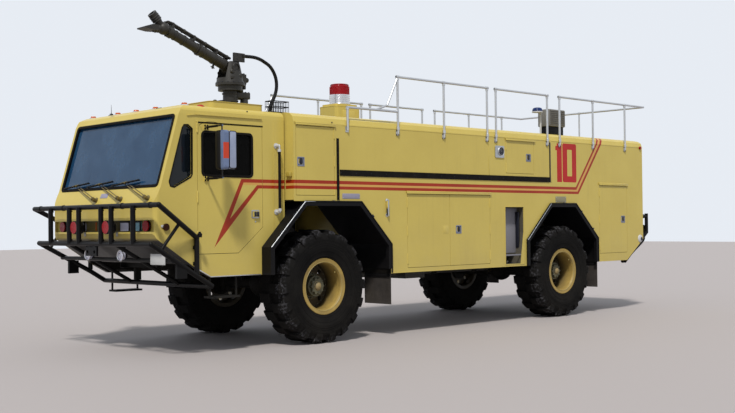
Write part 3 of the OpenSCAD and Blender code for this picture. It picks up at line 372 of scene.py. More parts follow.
def make_body_paint():
    """Lime-yellow enamel with the red stripes and number, streaks and dust, its hidden and inner faces darkened as
    painted shade.
    """
    paint = Finish("body_paint", 1.4, 0.2, Coat_Weight=0.04, Coat_Roughness=0.15, Specular_IOR_Level=0.25)
    tone, dirt = paint.tone, paint.dust(1.7, 0.55)
    stripe, between, number = paint.use(livery)
    recess, painted_shade, bay = paint.use(inner_shades)
    red = mix(tone, (0.36, 0.030, 0.006), (0.28, 0.020, 0.005))
    number_red = mix(tone, (0.45, 0.010, 0.006), (0.36, 0.008, 0.005))
    base = mix(tone * 0.6, (0.56, 0.446, 0.106), (0.49, 0.380, 0.090))
    # Of these colours the last three are painted shade: olive in the lamp recess, near black in the arches and
    # underneath, dark grey in the bay.
    for mask, colour in ((paint.use(streaks, Amount=0.30)[0], (0.33, 0.26, 0.08)), (stripe, red),
                         (between * 0.45, (0.62, 0.20, 0.06)), (number, number_red), (dirt, dust_colour),
                         (recess, (0.15, 0.125, 0.045)), (painted_shade, (0.007, 0.006, 0.005)), (bay, (0.050, 0.050, 0.055))):
        base = mix(mask, base, colour)
    paint.bump(0.30, 0.008, Wave=0.8, Grain=0.05)
    return paint.set(Base_Color=base, Roughness=(dirt * 0.5 + (tone * 0.10 + 0.30)).held())


def from_axle(place):
    """Distance from the nearer axle's line, and from the vehicle's middle plane."""
    ahead, left, up = split(place)
    off = abs(ahead - axle_x).maths("MINIMUM", abs(ahead - rear_axle_x))
    rise = up - axle_z
    return (off * off + rise * rise).maths("SQRT"), abs(left)


def make_wheel_paint():
    """Gold rims round green-grey hubs, with dust, the gold darker deep in the dish as painted shade."""
    paint = Finish("wheel_gold", 5.0, 0.4, Coat_Weight=0.05, Specular_IOR_Level=0.3)
    away, wide = from_axle(paint.place)
    gold = mix(paint.tone, (0.42, 0.29, 0.070), (0.26, 0.18, 0.050))
    # Painted shade: the gold darkens deep in the dished rim, towards the middle.
    gold = mix(ramp(wide, 1.00, 1.22), (0.030, 0.022, 0.010), gold)
    green = mix(paint.tone, (0.13, 0.125, 0.070), (0.075, 0.072, 0.045))
    base = mix(away < 0.172, gold, green)
    paint.bump(0.3, 0.005, Wave=0.3, Grain=0.4, Grain_Scale=110.0)
    return paint.set(Base_Color=mix(paint.dust(1.8, 0.35), base, (0.10, 0.085, 0.06)),
                     Roughness=paint.tone * 0.2 + 0.45)


def make_tyre_rubber():
    """Black carcass with pale grey specks round the tread's shoulders, partly dust and partly painted highlight on the
    lug edges, and fine mould grain.
    """
    rubber = Finish("tyre_rubber", 4.0, 0.5, Specular_IOR_Level=0.05)
    away, wide = from_axle(rubber.place)
    base = mix(rubber.tone, (0.0035, 0.0035, 0.004), (0.008, 0.008, 0.008))
    base = mix(rubber.dust(2.4, 0.10), base, (0.16, 0.14, 0.115))
    # Pale specks on the shoulders: partly dust, partly painted highlight of the sky on the lug edges.
    specks = ramp(noise(rubber.place, 26.0, 3.0, 0.7), 0.50, 0.64)
    pale_marks = ramp(away, 0.655, 0.715) * specks * (wide > 1.19)
    rubber.bump(0.35, 0.006, Wave=0.2, Grain=0.5, Grain_Scale=90.0)
    return rubber.set(Base_Color=mix(pale_marks * 0.65, base, (0.085, 0.085, 0.095)), Roughness=rubber.tone * 0.15 + 0.75)


def soft_black(name, colour, roughness=0.6, dust=0.5, sheen=0.12):
    """Rubber or matt plastic with dust and a fine grain."""
    rubber = Finish(name, 5.0, 0.4, Specular_IOR_Level=sheen)
    base = mix(rubber.tone, colour, [channel * 2.0 + 0.004 for channel in colour])
    rubber.bump(0.25, 0.004, Wave=0.2, Grain=0.4, Grain_Scale=150.0)
    return rubber.set(Base_Color=mix(rubber.dust(1.5, dust), base, dust_colour),
                      Roughness=rubber.tone * 0.15 + roughness)


def bare_metal(name, colour, roughness=0.28, brushed=True, dust=0.2):
    """Bright metal with a brushed or pitted grain and a little tarnish."""
    metal = Finish(name, 6.0, 0.4, Metallic=1.0)
    base = mix(metal.tone * 0.5, colour, [channel * 0.72 for channel in colour])
    grain_place = stretch(metal.place, 1.0, 1.0, 12.0) if brushed else metal.place
    metal.bump(0.12, 0.002, Vector=grain_place, Wave=0.1, Grain=0.3, Grain_Scale=120.0)
    return metal.set(Base_Color=mix(metal.dust(2.0, dust), base, dust_colour), Roughness=metal.tone * 0.18 + roughness)


def make_wiper_metal():
    """Brass-coloured arms with blades black above the glass's foot."""
    metal = Finish("wiper_metal", 8.0, 0.4, Specular_IOR_Level=0.2)
    arms = mix(metal.tone, (0.17, 0.13, 0.05), (0.09, 0.07, 0.03))
    high = ramp(split(metal.place)[2], 2.04, 2.05)
    return metal.set(Base_Color=mix(high, arms, (0.005, 0.005, 0.005)), Roughness=metal.tone * 0.15 + 0.4)


def make_mirror_case():
    """Enamelled casing: nearly black towards the cab, and outwards blue-grey ahead and paler behind as painted sky
    reflection, with the left one's red patch.
    """
    case = Finish("mirror_case", 5.0, 0.3, Specular_IOR_Level=0.3)
    ahead, left, up = split(case.place)
    x = ahead - axle_x
    # Blue-grey and pale blue are painted reflection of the sky.
    blue = mix(case.tone, (0.15, 0.20, 0.33), (0.10, 0.14, 0.24))
    pale = mix(case.tone, (0.30, 0.34, 0.46), (0.20, 0.24, 0.36))
    base = mix(abs(left) > 1.545, (0.006, 0.006, 0.007), mix(x < 1.770, blue, pale))
    patch = up.between(2.345, 2.535) & x.between(1.776, 1.850) & (left > 1.600)
    return case.set(Base_Color=mix(patch, base, (0.50, 0.05, 0.02)), Roughness=case.tone * 0.15 + 0.3)


def pane_glass(name, tint, film_colour, roughness, alpha_low, alpha_high, sheen, side_tint=None):
    """Thin tinted pane with a cloudy film, its panes at the cab's sides darker, as painted shade, if a tint is given
    for them.
    """
    pane = Finish(name, 3.5, 0.3, IOR=1.45, Specular_IOR_Level=sheen)
    base = mix(pane.tone * 0.4, tint, film_colour)
    clear = pane.tone * (alpha_high - alpha_low) + alpha_low
    if side_tint:
        at_side = abs(split(pane.place)[1]) > 1.15
        base = mix(at_side, base, side_tint)
        clear = clear | (at_side * 0.94)
    alpha = (clear + pane.use(streaks, Amount=0.5)[0] * 0.1).held()
    return pane.set(Base_Color=base, Roughness=pane.tone * 0.05 + roughness, Alpha=alpha)


def ribbed_lens(name, colour, deep, rib_scale, outer=None, outer_from=0.0):
    """Moulded lamp plastic with fine optic ribs, of another colour in the outer lamps if one is given."""
    lens = Finish(name, 9.0, 0.3, Coat_Weight=0.03, Coat_Roughness=0.05, Specular_IOR_Level=0.20)
    inputs = {"Vector": lens.place, "Scale": rib_scale}
    ribs = add_node(lens.tree, "ShaderNodeTexWave", inputs, bands_direction="Z")[1]
    base = mix(lens.tone * 0.25, mix(ribs, colour, deep), deep)
    if outer:
        base = mix(abs(split(lens.place)[1]) > outer_from, base, outer)
    lens.bump(0.3, 0.003, ribs)
    return lens.set(Base_Color=base, Roughness=lens.tone * 0.1 + 0.12)


body_paint = make_body_paint()
guard_black = coated_finish("guard_black", (0.003, 0.003, 0.004), (0.006, 0.006, 0.006), 0.28, dust=0.05,
                            streak=0.15, grain=0.2, coat=0.0, sheen=0.12)
arch_black = coated_finish("arch_black", (0.003, 0.003, 0.004), (0.006, 0.006, 0.007), 0.42, dust=0.05, streak=0.2,
                           grain=0.3, coat=0.0, sheen=0.12)
chassis_black = coated_finish("chassis_black", (0.006, 0.006, 0.006), (0.009, 0.008, 0.007), 0.6, dust=0.08,
                              dust_top=2.0, grain=0.4, coat=0.0, sheen=0.15)
machine_grey = coated_finish("machine_grey", (0.045, 0.045, 0.044), (0.025, 0.022, 0.020), 0.55, dust=0.3,
                             dust_top=2.4, grain=0.5, coat=0.0)
dark_steel = coated_finish("dark_steel", (0.010, 0.012, 0.022), (0.006, 0.007, 0.010), 0.30, dust=0.0, streak=0.1,
                           grain=0.3, coat=0.1, sheen=0.3)
latch_grey = coated_finish("latch_grey", (0.21, 0.23, 0.31), (0.12, 0.14, 0.21), 0.35, dust=0.0, streak=0.3,
                           grain=0.3, coat=0.1)
plate_lavender = coated_finish("plate_lavender", (0.27, 0.26, 0.34), (0.20, 0.19, 0.24), 0.45, dust=0.1, coat=0.0)
plate_olive = coated_finish("plate_olive", (0.25, 0.23, 0.13), (0.17, 0.15, 0.09), 0.45, dust=0.1, coat=0.0)
monitor_paint = coated_finish("monitor_paint", (0.030, 0.028, 0.024), (0.004, 0.004, 0.005), 0.42, dust=0.0,
                              streak=0.7, grain=0.6, coat=0.05, sheen=0.3)
white_paint = coated_finish("white_paint", (0.52, 0.53, 0.54), (0.36, 0.36, 0.35), 0.4, dust=0.2, coat=0.1)
mount_yellow = coated_finish("mount_yellow", (0.42, 0.32, 0.05), (0.30, 0.22, 0.04), 0.45, dust=0.2, coat=0.1)
bay_grey = coated_finish("bay_grey", (0.20, 0.20, 0.225), (0.13, 0.13, 0.15), 0.5, dust=0.1, coat=0.0, sheen=0.3)
inner_grey = coated_finish("inner_grey", (0.16, 0.155, 0.14), (0.10, 0.095, 0.085), 0.5, dust=0.3, coat=0.0)
wheel_gold = make_wheel_paint()
rim_ring = coated_finish("rim_ring", (0.34, 0.27, 0.09), (0.20, 0.15, 0.05), 0.28, dust=0.2, grain=0.2, coat=0.2)
hub_iron = coated_finish("hub_iron", (0.085, 0.080, 0.050), (0.05, 0.047, 0.032), 0.5, dust=0.2, coat=0.0)
hub_tan = coated_finish("hub_tan", (0.30, 0.22, 0.09), (0.20, 0.15, 0.07), 0.45, dust=0.2, coat=0.0)
tyre_rubber = make_tyre_rubber()
black_rubber = soft_black("black_rubber", (0.004, 0.0035, 0.003), dust=0.04, sheen=0.06)
hose_rubber = soft_black("hose_rubber", (0.005, 0.005, 0.006), 0.45, dust=0.0)
flap_rubber = soft_black("flap_rubber", (0.016, 0.014, 0.014), 0.7, dust=0.3)
dash_plastic = soft_black("dash_plastic", (0.030, 0.030, 0.030), 0.65, dust=0.0, sheen=0.3)
seat_vinyl = soft_black("seat_vinyl", (0.030, 0.033, 0.040), 0.5, dust=0.0, sheen=0.3)
rail_alloy = bare_metal("rail_alloy", (0.60, 0.61, 0.62), 0.32)
bright_chrome = bare_metal("bright_chrome", (0.75, 0.75, 0.76), 0.10, brushed=False)
stainless = bare_metal("stainless", (0.50, 0.52, 0.54), 0.26)
brass = bare_metal("brass", (0.30, 0.24, 0.10), 0.30, brushed=False)
mirror_silver = bare_metal("mirror_silver", (0.62, 0.76, 0.90), 0.04, brushed=False, dust=0.0)
# One glass all round: the windscreen's blue is partly painted sky reflection, the near-black of the quarter and door
# panes painted shade.
screen_glass = pane_glass("screen_glass", (0.010, 0.046, 0.110), (0.026, 0.080, 0.160), 0.03, 0.78, 0.93, 0.40,
                          (0.003, 0.005, 0.007))
side_glass = pane_glass("side_glass", (0.003, 0.003, 0.003), (0.006, 0.006, 0.005), 0.08, 0.92, 0.98, 0.03)
clear_lens = ribbed_lens("clear_lens", (0.60, 0.60, 0.72), (0.34, 0.35, 0.45), 45.0, (0.16, 0.30, 0.36), 0.645)
red_lens = ribbed_lens("red_lens", (0.36, 0.004, 0.010), (0.20, 0.003, 0.006), 55.0)
amber_lens = ribbed_lens("amber_lens", (0.60, 0.11, 0.010), (0.34, 0.06, 0.008), 55.0, (0.03, 0.010, 0.004), 1.195)
blue_lens = ribbed_lens("blue_lens", (0.012, 0.035, 0.16), (0.006, 0.02, 0.09), 55.0)
roof_red = ribbed_lens("roof_red", (0.50, 0.035, 0.008), (0.26, 0.015, 0.006), 55.0)
wiper_metal = make_wiper_metal()
mirror_case = make_mirror_case()

finish_places = (
    (chassis_black, "chassis_frame front_axle rear_axle knuckle_left knuckle_right"),
    (machine_grey, "engine driveline"), (dash_plastic, "dashboard"), (seat_vinyl, "seats"),
    (screen_glass, "cab_glass"), (guard_black, "front_guard rear_guard"), (clear_lens, "clear_lenses"),
    (red_lens, "red_lenses beacon_lens"),
    (amber_lens, "amber_lenses"), (wiper_metal, "wipers"), (arch_black, "wheel_arches"), (flap_rubber, "mud_flaps"),
    (black_rubber, "rub_strips"), (stainless, "side_fittings"), (rail_alloy, "hand_rails"),
    (bright_chrome, "beacon_base"), (monitor_paint, "monitor_base monitor_turret monitor_barrel"),
    (hose_rubber, "monitor_hose"))
finish_families = ((tyre_rubber, "tyre_"), (wheel_gold, "wheel_"), (side_glass, "door_glass"),
                   (mirror_case, "mirror_"))

for name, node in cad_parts.items():
    found = [finish for finish, nodes in finish_places if name in nodes.split()]
    found += [finish for finish, start in finish_families if name.startswith(start)]
    node.data.materials.clear()
    node.data.materials.append((found + [body_paint])[0])


# Stage: pale floor, soft light

def make_stage():
    floor_mesh = bpy.data.meshes.new("floor")
    shape = bmesh.new()
    bmesh.ops.create_grid(shape, x_segments=1, y_segments=1, size=60.0)
    shape.to_mesh(floor_mesh)
    shape.free()
    floor = bpy.data.objects.new("floor", floor_mesh)
    scene.collection.objects.link(floor)
    material = bpy.data.materials.new("floor_paint")
    material.use_nodes = True
    feed(material.node_tree.nodes["Principled BSDF"], {"Base Color": (0.37, 0.34, 0.335, 1), "Roughness": 0.8})
    floor_mesh.materials.append(material)


def make_lights():
    world = bpy.data.worlds.new("studio")
    scene.world = world
    world.use_nodes = True
    rays = world.node_tree.nodes.new("ShaderNodeLightPath")
    camera, glossy, through = [Value(world.node_tree, rays.outputs[kind + " Ray"])
                               for kind in ("Is Camera", "Is Glossy", "Is Transmission")]
    sky = mix(camera | glossy | through, (0.50, 0.53, 0.58), (0.80, 0.84, 0.90))
    feed(world.node_tree.nodes["Background"], {"Color": sky, "Strength": 1.0})
    key = bpy.data.lights.new("key", "SUN")
    key.energy = 3.2
    key.angle = math.radians(6)
    key.color = (1.0, 0.96, 0.90)
    lamp = bpy.data.objects.new("key", key)
    lamp.rotation_euler = Vector((-0.45, -0.37, -0.81)).to_track_quat("-Z", "Y").to_euler()
    scene.collection.objects.link(lamp)
    scene.view_settings.view_transform = "Standard"


make_stage()
make_lights()


# Pieces


def at(x, y, z):
    """Point from millimetres ahead of the front axle, left of the middle and above the ground."""
    return Vector((axle_x + x / 1000, y / 1000, z / 1000))


# Hose of the monitor, as a cord from the turret's fitting to the roof gland

hose_radius = 0.024
hose_route = [(379.7, 120, 3868), (330, 120, 3868), (270, 119, 3870), (190, 118, 3868), (100, 116, 3852),
              (10, 114, 3818), (-80, 112, 3770), (-150, 110, 3690), (-190, 108, 3600), (-200, 106, 3500),
              (-184, 104, 3410), (-150, 102, 3330), (-110, 100, 3250), (-80, 100, 3170), (-64, 100, 3100),
              (-64, 100, 3041.3)]


def smooth_route(points, steps):
    """Points along a smooth curve through the given ones."""
    fine = []
    for i in range(len(points) - 1):
        before = points[max(i - 1, 0)]
        a, b = points[i], points[i + 1]
        after = points[min(i + 2, len(points) - 1)]
        for k in range(steps):
            t = k / steps
            fine.append(0.5 * ((2 * a) + (b - before) * t + (2 * before - 5 * a + 4 * b - after) * t * t
                               + (3 * a - before - 3 * b + after) * t ** 3))
    fine.append(points[-1])
    return fine


def sweep_ring(shape, path, radius, segments):
    """Round tube along a path, one ring drawn out from point to point."""
    headings = []
    for i in range(len(path)):
        headings.append((path[min(i + 1, len(path) - 1)] - path[max(i - 1, 0)]).normalized())
    side = headings[0].cross(Vector((0.0, 0.0, 1.0)))
    if side.length < 0.05:
        side = headings[0].cross(Vector((0.0, 1.0, 0.0)))
    side.normalize()
    turn = Matrix((side, headings[0].cross(side), headings[0])).transposed().to_4x4()
    ring = bmesh.ops.create_circle(shape, cap_ends=True, segments=segments, radius=radius,
                                   matrix=Matrix.Translation(path[0]) @ turn)["verts"]
    edges = list({edge for vert in ring for edge in vert.link_edges})
    for i in range(1, len(path)):
        drawn = bmesh.ops.extrude_edge_only(shape, edges=edges)["geom"]
        verts = [item for item in drawn if isinstance(item, bmesh.types.BMVert)]
        edges = [item for item in drawn if isinstance(item, bmesh.types.BMEdge)
                 if item.verts[0] in verts and item.verts[1] in verts]
        bend = headings[i - 1].rotation_difference(headings[i]).to_matrix()
        bmesh.ops.rotate(shape, verts=verts, cent=path[i - 1], matrix=bend)
        bmesh.ops.translate(shape, verts=verts, vec=path[i] - path[i - 1])
    bmesh.ops.contextual_create(shape, geom=edges)


def make_piece(name, shape, finish, body="chassis"):
    """Smooth mesh object from a bmesh, its faces outwards and its sharp edges kept, riding on a body."""
    bmesh.ops.recalc_face_normals(shape, faces=shape.faces)
    mesh = bpy.data.meshes.new(name)
    shape.to_mesh(mesh)
    shape.free()
    mesh.materials.append(finish)
    mesh.shade_smooth()
    mesh.set_sharp_from_angle(angle=math.radians(35))
    made = bpy.data.objects.new(name, mesh)
    scene.collection.objects.link(made)
    if body:
        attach(made, body)
    # Blender adds a number to the name of a finish that the frame has too
    return made


def path_length(path):
    return sum((b - a).length for a, b in zip(path, path[1:]))


def make_hose():
    path = smooth_route([at(*point) for point in hose_route], 4)
    shape = bmesh.new()
    sweep_ring(shape, path, hose_radius, 16)
    hose = make_piece("roof_hose", shape, hose_rubber, None)
    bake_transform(hose)
    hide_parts("monitor_hose")
    path_length(path)


make_hose()


# Building blocks of the fittings: each maker gives a small closed bmesh, and stamp() adds it at its places

def mm(*values):
    return tuple(value / 1000 for value in values)


def frame_of(origin, u, v, n):
    """Place whose local axes are u, v and the outward normal n."""
    return Matrix.Translation(origin) @ Matrix((u, v, n)).transposed().to_4x4()


def on_side(x, z, side=1, y=None):
    y = side_y * 1000 if y is None else y
    return frame_of(at(x, side * y, z), (-side, 0, 0), (0, 0, 1), (0, side, 0))


def on_front(x, y, z):
    return frame_of(at(x, y, z), (0, 1, 0), (0, 0, 1), (1, 0, 0))


def on_rear(x, y, z):
    return frame_of(at(x, y, z), (0, -1, 0), (0, 0, 1), (-1, 0, 0))


def on_top(x, y, z):
    return Matrix.Translation(at(x, y, z))


def across(x, y, z):
    """Place whose normal points to the left."""
    return frame_of(at(x, y, z), (1, 0, 0), (0, 0, -1), (0, 1, 0))


def shift(*values):
    return Matrix.Translation(mm(*values))


def turned_by(degrees, axis):
    return Matrix.Rotation(math.radians(degrees), 4, axis)


def stamp(shape, part, *places):
    """Adds the part to the shape at each place, or where it is."""
    bmesh.ops.recalc_face_normals(part, faces=part.faces)
    mesh = bpy.data.meshes.new("part")
    part.to_mesh(mesh)
    part.free()
    for place in places or (Matrix.Identity(4),):
        copy = mesh.copy()
        copy.transform(place)
        shape.from_mesh(copy)
        bpy.data.meshes.remove(copy)
    bpy.data.meshes.remove(mesh)


def soften(part, edge, steps=2):
    """Rounds the edges sharper than 25 degrees."""
    sharp = [e for e in part.edges if len(e.link_faces) == 2 and e.calc_face_angle(0) > math.radians(25)]
    bmesh.ops.bevel(part, geom=sharp, offset=edge, segments=steps, profile=0.5, affect="EDGES", material=-1,
                    clamp_overlap=True)


def block(width, height, depth, edge=2.0, steps=2):
    """Block standing on its place, in millimetres, with round edges."""
    part = bmesh.new()
    w, h, d = mm(width, height, depth)
    bmesh.ops.create_cube(part, size=1.0, matrix=Matrix.Translation((0, 0, d / 2)) @ Matrix.Diagonal((w, h, d, 1)))
    if edge:
        soften(part, min(edge / 1000, 0.45 * min(w, h, d)), steps)
    return part


def round_corners(width, height, corner, steps=5):
    """Outline of a rectangle with round corners, centred, in millimetres."""
    points = []
    for sx, sy, start in ((1, 1, 0), (-1, 1, 90), (-1, -1, 180), (1, -1, 270)):
        for i in range(steps + 1):
            turn = math.radians(start + 90 * i / steps)
            points.append((sx * (width / 2 - corner) + corner * math.cos(turn),
                           sy * (height / 2 - corner) + corner * math.sin(turn)))
    return points


def flat_outline(points):
    """One flat face with the outline's points, in millimetres."""
    part = bmesh.new()
    loop = bmesh.ops.create_circle(part, cap_ends=True, segments=len(points), radius=1.0)["verts"]
    for vert, (u, v) in zip(loop, points):
        vert.co = (u / 1000, v / 1000, 0)
    return part


def thicken(part, depth):
    raised = bmesh.ops.extrude_face_region(part, geom=part.faces[:])["geom"]
    bmesh.ops.translate(part, verts=[v for v in raised if isinstance(v, bmesh.types.BMVert)], vec=(0, 0, depth / 1000))


def plate(points, depth, edge=1.0, steps=2):
    part = flat_outline(points)
    thicken(part, depth)
    if edge:
        soften(part, edge / 1000, steps)
    return part


def ring_plate(points, band, depth, edge=1.0):
    """Flat frame along the outline, its band measured inwards."""
    part = flat_outline(points)
    inner = part.faces[:]
    bmesh.ops.inset_region(part, faces=inner, thickness=band / 1000, use_boundary=True, use_even_offset=True)
    bmesh.ops.delete(part, geom=inner, context="FACES_ONLY")
    thicken(part, depth)
    if edge:
        soften(part, edge / 1000)
    return part


def round_plate(width, height, corner, depth, edge=1.0, steps=2):
    return plate(round_corners(width, height, corner), depth, edge, steps)


def round_rim(width, height, corner, band, depth, edge=1.0):
    return ring_plate(round_corners(width, height, corner), band, depth, edge)


def turned(profile, steps=32):
    """Turned piece round its place's normal, from radius and height pairs in millimetres."""
    part = bmesh.new()
    last = bmesh.ops.create_vert(part, co=(profile[0][0] / 1000, 0, profile[0][1] / 1000))["vert"][0]
    for radius, height in profile[1:]:
        drawn = bmesh.ops.extrude_vert_indiv(part, verts=[last])["verts"][0]
        drawn.co = (radius / 1000, 0, height / 1000)
        last = drawn
    bmesh.ops.spin(part, geom=part.verts[:] + part.edges[:], cent=(0, 0, 0), axis=(0, 0, 1), angle=math.tau,
                   steps=steps, use_merge=True)
    bmesh.ops.remove_doubles(part, verts=part.verts, dist=1e-6)
    return part


def bar(a, b, radius, segments=12, end=None):
    """Round bar between two points in metres, its radii in millimetres."""
    part = bmesh.new()
    along = b - a
    turn = along.to_track_quat("Z", "Y").to_matrix().to_4x4()
    bmesh.ops.create_cone(part, cap_ends=True, segments=segments, radius1=radius / 1000,
                          radius2=(radius if end is None else end) / 1000, depth=along.length,
                          matrix=Matrix.Translation((a + b) / 2) @ turn)
    return part


def tube(points, radius, segments=10, steps=4):
    """Bent round bar through points in metres."""
    part = bmesh.new()
    sweep_ring(part, smooth_route(points, steps) if steps > 1 else points, radius / 1000, segments)
    return part


def bolt(radius=6.0, height=4.0):
    """Hexagon head on a washer."""
    part = bmesh.new()
    bmesh.ops.create_cone(part, cap_ends=True, segments=16, radius1=1.5 * radius / 1000, radius2=1.5 * radius / 1000,
                          depth=0.0012, matrix=Matrix.Translation((0, 0, 0.0006)))
    bmesh.ops.create_cone(part, cap_ends=True, segments=6, radius1=radius / 1000, radius2=0.92 * radius / 1000,
                          depth=height / 1000, matrix=Matrix.Translation((0, 0, 0.0012 + height / 2000)))
    return part


both = (1, -1)
hands = ((1, "left"), (-1, "right"))


def corners(place, u, v):
    """The place moved to the four corners of a rectangle, in millimetres."""
    return [place @ shift(a, b, 0) for a in (-u, u) for b in (-v, v)]


def round_places(place, count, radius, out=0, start=0):
    """The place moved round its normal, in even steps."""
    return [place @ turned_by(start + 360 / count * i, "Z") @ shift(radius, 0, out) for i in range(count)]


def sleeve(inner, outer, half, rim, steps):
    """Short ring: half its height at its bore, and at its rim."""
    return turned([(inner, -half), (outer, -rim), (outer, rim), (inner, half)], steps)


def new_shapes(count):
    return [bmesh.new() for number in range(count)]


# Doors' latches, one set on each leaf

def add_latch(name, body, place):
    """Flush latch: bezel and pan, a tilted oval paddle with its finger dip, and the lock barrel."""
    bright = bmesh.new()
    stamp(bright, round_rim(122, 122, 16, 12, 6, 1.5), place @ shift(0, 0, -2))
    stamp(bright, round_plate(104, 104, 10, 3, 0.5), place @ shift(0, 0, -8))
    stamp(bright, turned([(0, 4), (7, 4), (9, 2), (9, -8), (0, -8)], 20), place @ shift(-30, -32, 0))
    stamp(bright, bolt(3, 1.5), *corners(place @ shift(0, 0, 4), 55, 55))
    make_piece(name + "_latch", bright, latch_grey, body)
    dark = bmesh.new()
    stamp(dark, round_plate(50, 74, 24, 5, 2), place @ shift(6, 4, -5) @ turned_by(4, "X"))
    stamp(dark, round_rim(60, 84, 29, 4, 2, 0.5), place @ shift(6, 4, -5))
    make_piece(name + "_paddle", dark, dark_steel, body)


locker_middles = {"front": (480 - 40, 2364), "mid": (-2414 + 90, 1461), "aft": (-2414 - 190, 1461),
                  "rear": (-7110 + 130, 1590)}


def add_locker_fittings():
    """Latches of the lockers and the tank deck door; the middle leaf has a plain cover."""
    for side, hand in hands:
        for name, (x, z) in locker_middles.items():
            if name == "mid":
                cover = bmesh.new()
                stamp(cover, round_plate(116, 116, 8, 7, 1), on_side(x, z, side, 1354))
                make_piece(f"latch_cover_{hand}", cover, body_paint, f"locker_door_mid_{hand}")
            else:
                add_latch(f"locker_{name}_{hand}", f"locker_door_{name}_{hand}", on_side(x, z, side))
    add_latch("tank_locker", "tank_door", on_side(-4300, 2575, 1))


def add_gutters():
    """Folded rain gutters above the lockers, pressed seams and the deck's crease."""
    shape = bmesh.new()
    for side in both:
        for x0, x1, z in ((-3352, -1496, 1990), (-7128, -6242, 2190), (-158, 538, 2850)):
            middle_x, width = (x0 + x1) / 2, x1 - x0
            stamp(shape, block(width, 5, 20, 1.5), on_side(middle_x, z + 14, side))
            stamp(shape, block(width, 44, 4, 1.5), on_side(middle_x, z + 8, side, 1374) @ turned_by(-8, "X"))
        stamp(shape, block(18, 600, 3, 1.2), on_side(-3324, 2585, side))
        stamp(shape, block(4555, 7, 3, 1.2), on_side(-2560, 2868, side))
        stamp(shape, block(2640, 7, 3, 1.2), on_side(-6235, 2868, side))
    stamp(shape, block(752, 5, 20, 1.5), on_side(-4090, 2864, 1))
    stamp(shape, block(752, 40, 4, 1.5), on_side(-4090, 2848, 1, 1374) @ turned_by(-8, "X"))
    make_piece("rain_gutters", shape, body_paint)


# Places on slopes and along the sides

def strip(shape, a, b, width, depth, side, y=None):
    """Flat strip on a side from a to b, each X and Z in millimetres."""
    along = Vector((b[0] - a[0], b[1] - a[1]))
    place = on_side((a[0] + b[0]) / 2, (a[1] + b[1]) / 2, side, y)
    turn = turned_by(math.degrees(math.atan2(along.y, -side * along.x)), "Z")
    stamp(shape, block(along.length, width, depth, 1), place @ turn)


def side_outline(points, side, x0, z0):
    return [(-side * (x - x0), z - z0) for x, z in points]


screen_lean = math.atan2(251, 849)
screen_out = Vector((math.cos(screen_lean), 0, math.sin(screen_lean)))
screen_up = Vector((-math.sin(screen_lean), 0, math.cos(screen_lean)))
brow_lean = math.atan2(88, 196)
brow_out = Vector((math.cos(brow_lean), 0, math.sin(brow_lean)))
brow_up = Vector((-math.sin(brow_lean), 0, math.cos(brow_lean)))


def on_screen(y, rise, out=0.0):
    foot = at(2442, y, 2026) + screen_up * rise / 1000 + screen_out * out / 1000
    return frame_of(foot, (0, 1, 0), screen_up, screen_out)


def on_brow(y, z, out=0.0):
    foot = at(2530 - (z - 1830) * math.tan(brow_lean), y, z) + brow_out * out / 1000
    return frame_of(foot, (0, 1, 0), brow_up, brow_out)


# Hinges, on the axes of the joints

def add_hinges():
    """Barrel hinges: the middle knuckle turns with the leaf, the outer ones stay."""
    fixed = bmesh.new()
    leaves = [("cab_door", 1928, 1202, (1420, 1900, 2740), 12),
              ("locker_door_front", -140, 1360, (2010, 2380, 2750), 9),
              ("locker_door_mid", -1518, 1360, (1060, 1450, 1850), 9),
              ("locker_door_aft", -3330, 1360, (1060, 1450, 1850), 9),
              ("locker_door_rear", -6260, 1360, (1130, 1590, 2050), 9)]
    sets = [(name + "_" + hand, x, y, heights, radius, side) for name, x, y, heights, radius in leaves
            for side, hand in hands]
    sets.append(("tank_door", -3740, 1360, (2400, 2750), 9, 1))
    for body, x, y, heights, radius, side in sets:
        moving = bmesh.new()
        for z in heights:
            knuckle = [(0, -22), (radius - 1, -22), (radius, -21), (radius, 21), (radius - 1, 22), (0, 22)]
            stamp(moving, turned(knuckle, 20), on_top(x, side * y, z))
            for rise in (-45, 45):
                stamp(fixed, turned(knuckle, 20), on_top(x, side * y, z + rise))
            for rise in (-70, 70):
                stamp(fixed, turned([(0, -3), (radius * 0.7, -3), (radius * 0.5, 3), (0, 4)], 16),
                      on_top(x, side * y, z + rise))
        make_piece(body + "_hinge", moving, body_paint, body)
    make_piece("hinge_knuckles", fixed, body_paint)


# Cab

quarter_outline = [(2134, 2712), (2110, 2747), (2060, 2750), (2007, 2710), (2011, 2175), (2030, 2140), (2262, 2020),
                   (2305, 2030), (2321, 2075)]


def add_cab_seals():
    """Rubber round the windscreen, the quarter windows, the door windows and over the doors."""
    shape = bmesh.new()
    stamp(shape, round_rim(2284, 911, 56, 36, 14, 3), on_screen(0, 442.5, -5))
    stamp(shape, round_rim(2256, 883, 42, 9, 22, 2), on_screen(0, 442.5, -27))
    for side in both:
        stamp(shape, ring_plate(side_outline(quarter_outline, side, 2160, 2400), 15, 25, 2),
              on_side(2160, 2400, side, 1181))
        stamp(shape, block(1010, 12, 8, 2), on_side(1436, 2797, side, 1200))
    make_piece("cab_seals", shape, black_rubber)
    for side, hand in hands:
        leaf = bmesh.new()
        stamp(leaf, round_rim(784, 559, 62, 30, 16, 3), on_side(1480, 2422.5, side, 1193))
        stamp(leaf, round_rim(778, 553, 58, 22, 10, 2), on_side(1480, 2422.5, side, 1155))
        stamp(leaf, block(760, 10, 10, 2), on_side(1480, 2158, side, 1190))
        make_piece(f"door_window_seal_{hand}", leaf, black_rubber, f"cab_door_{hand}")


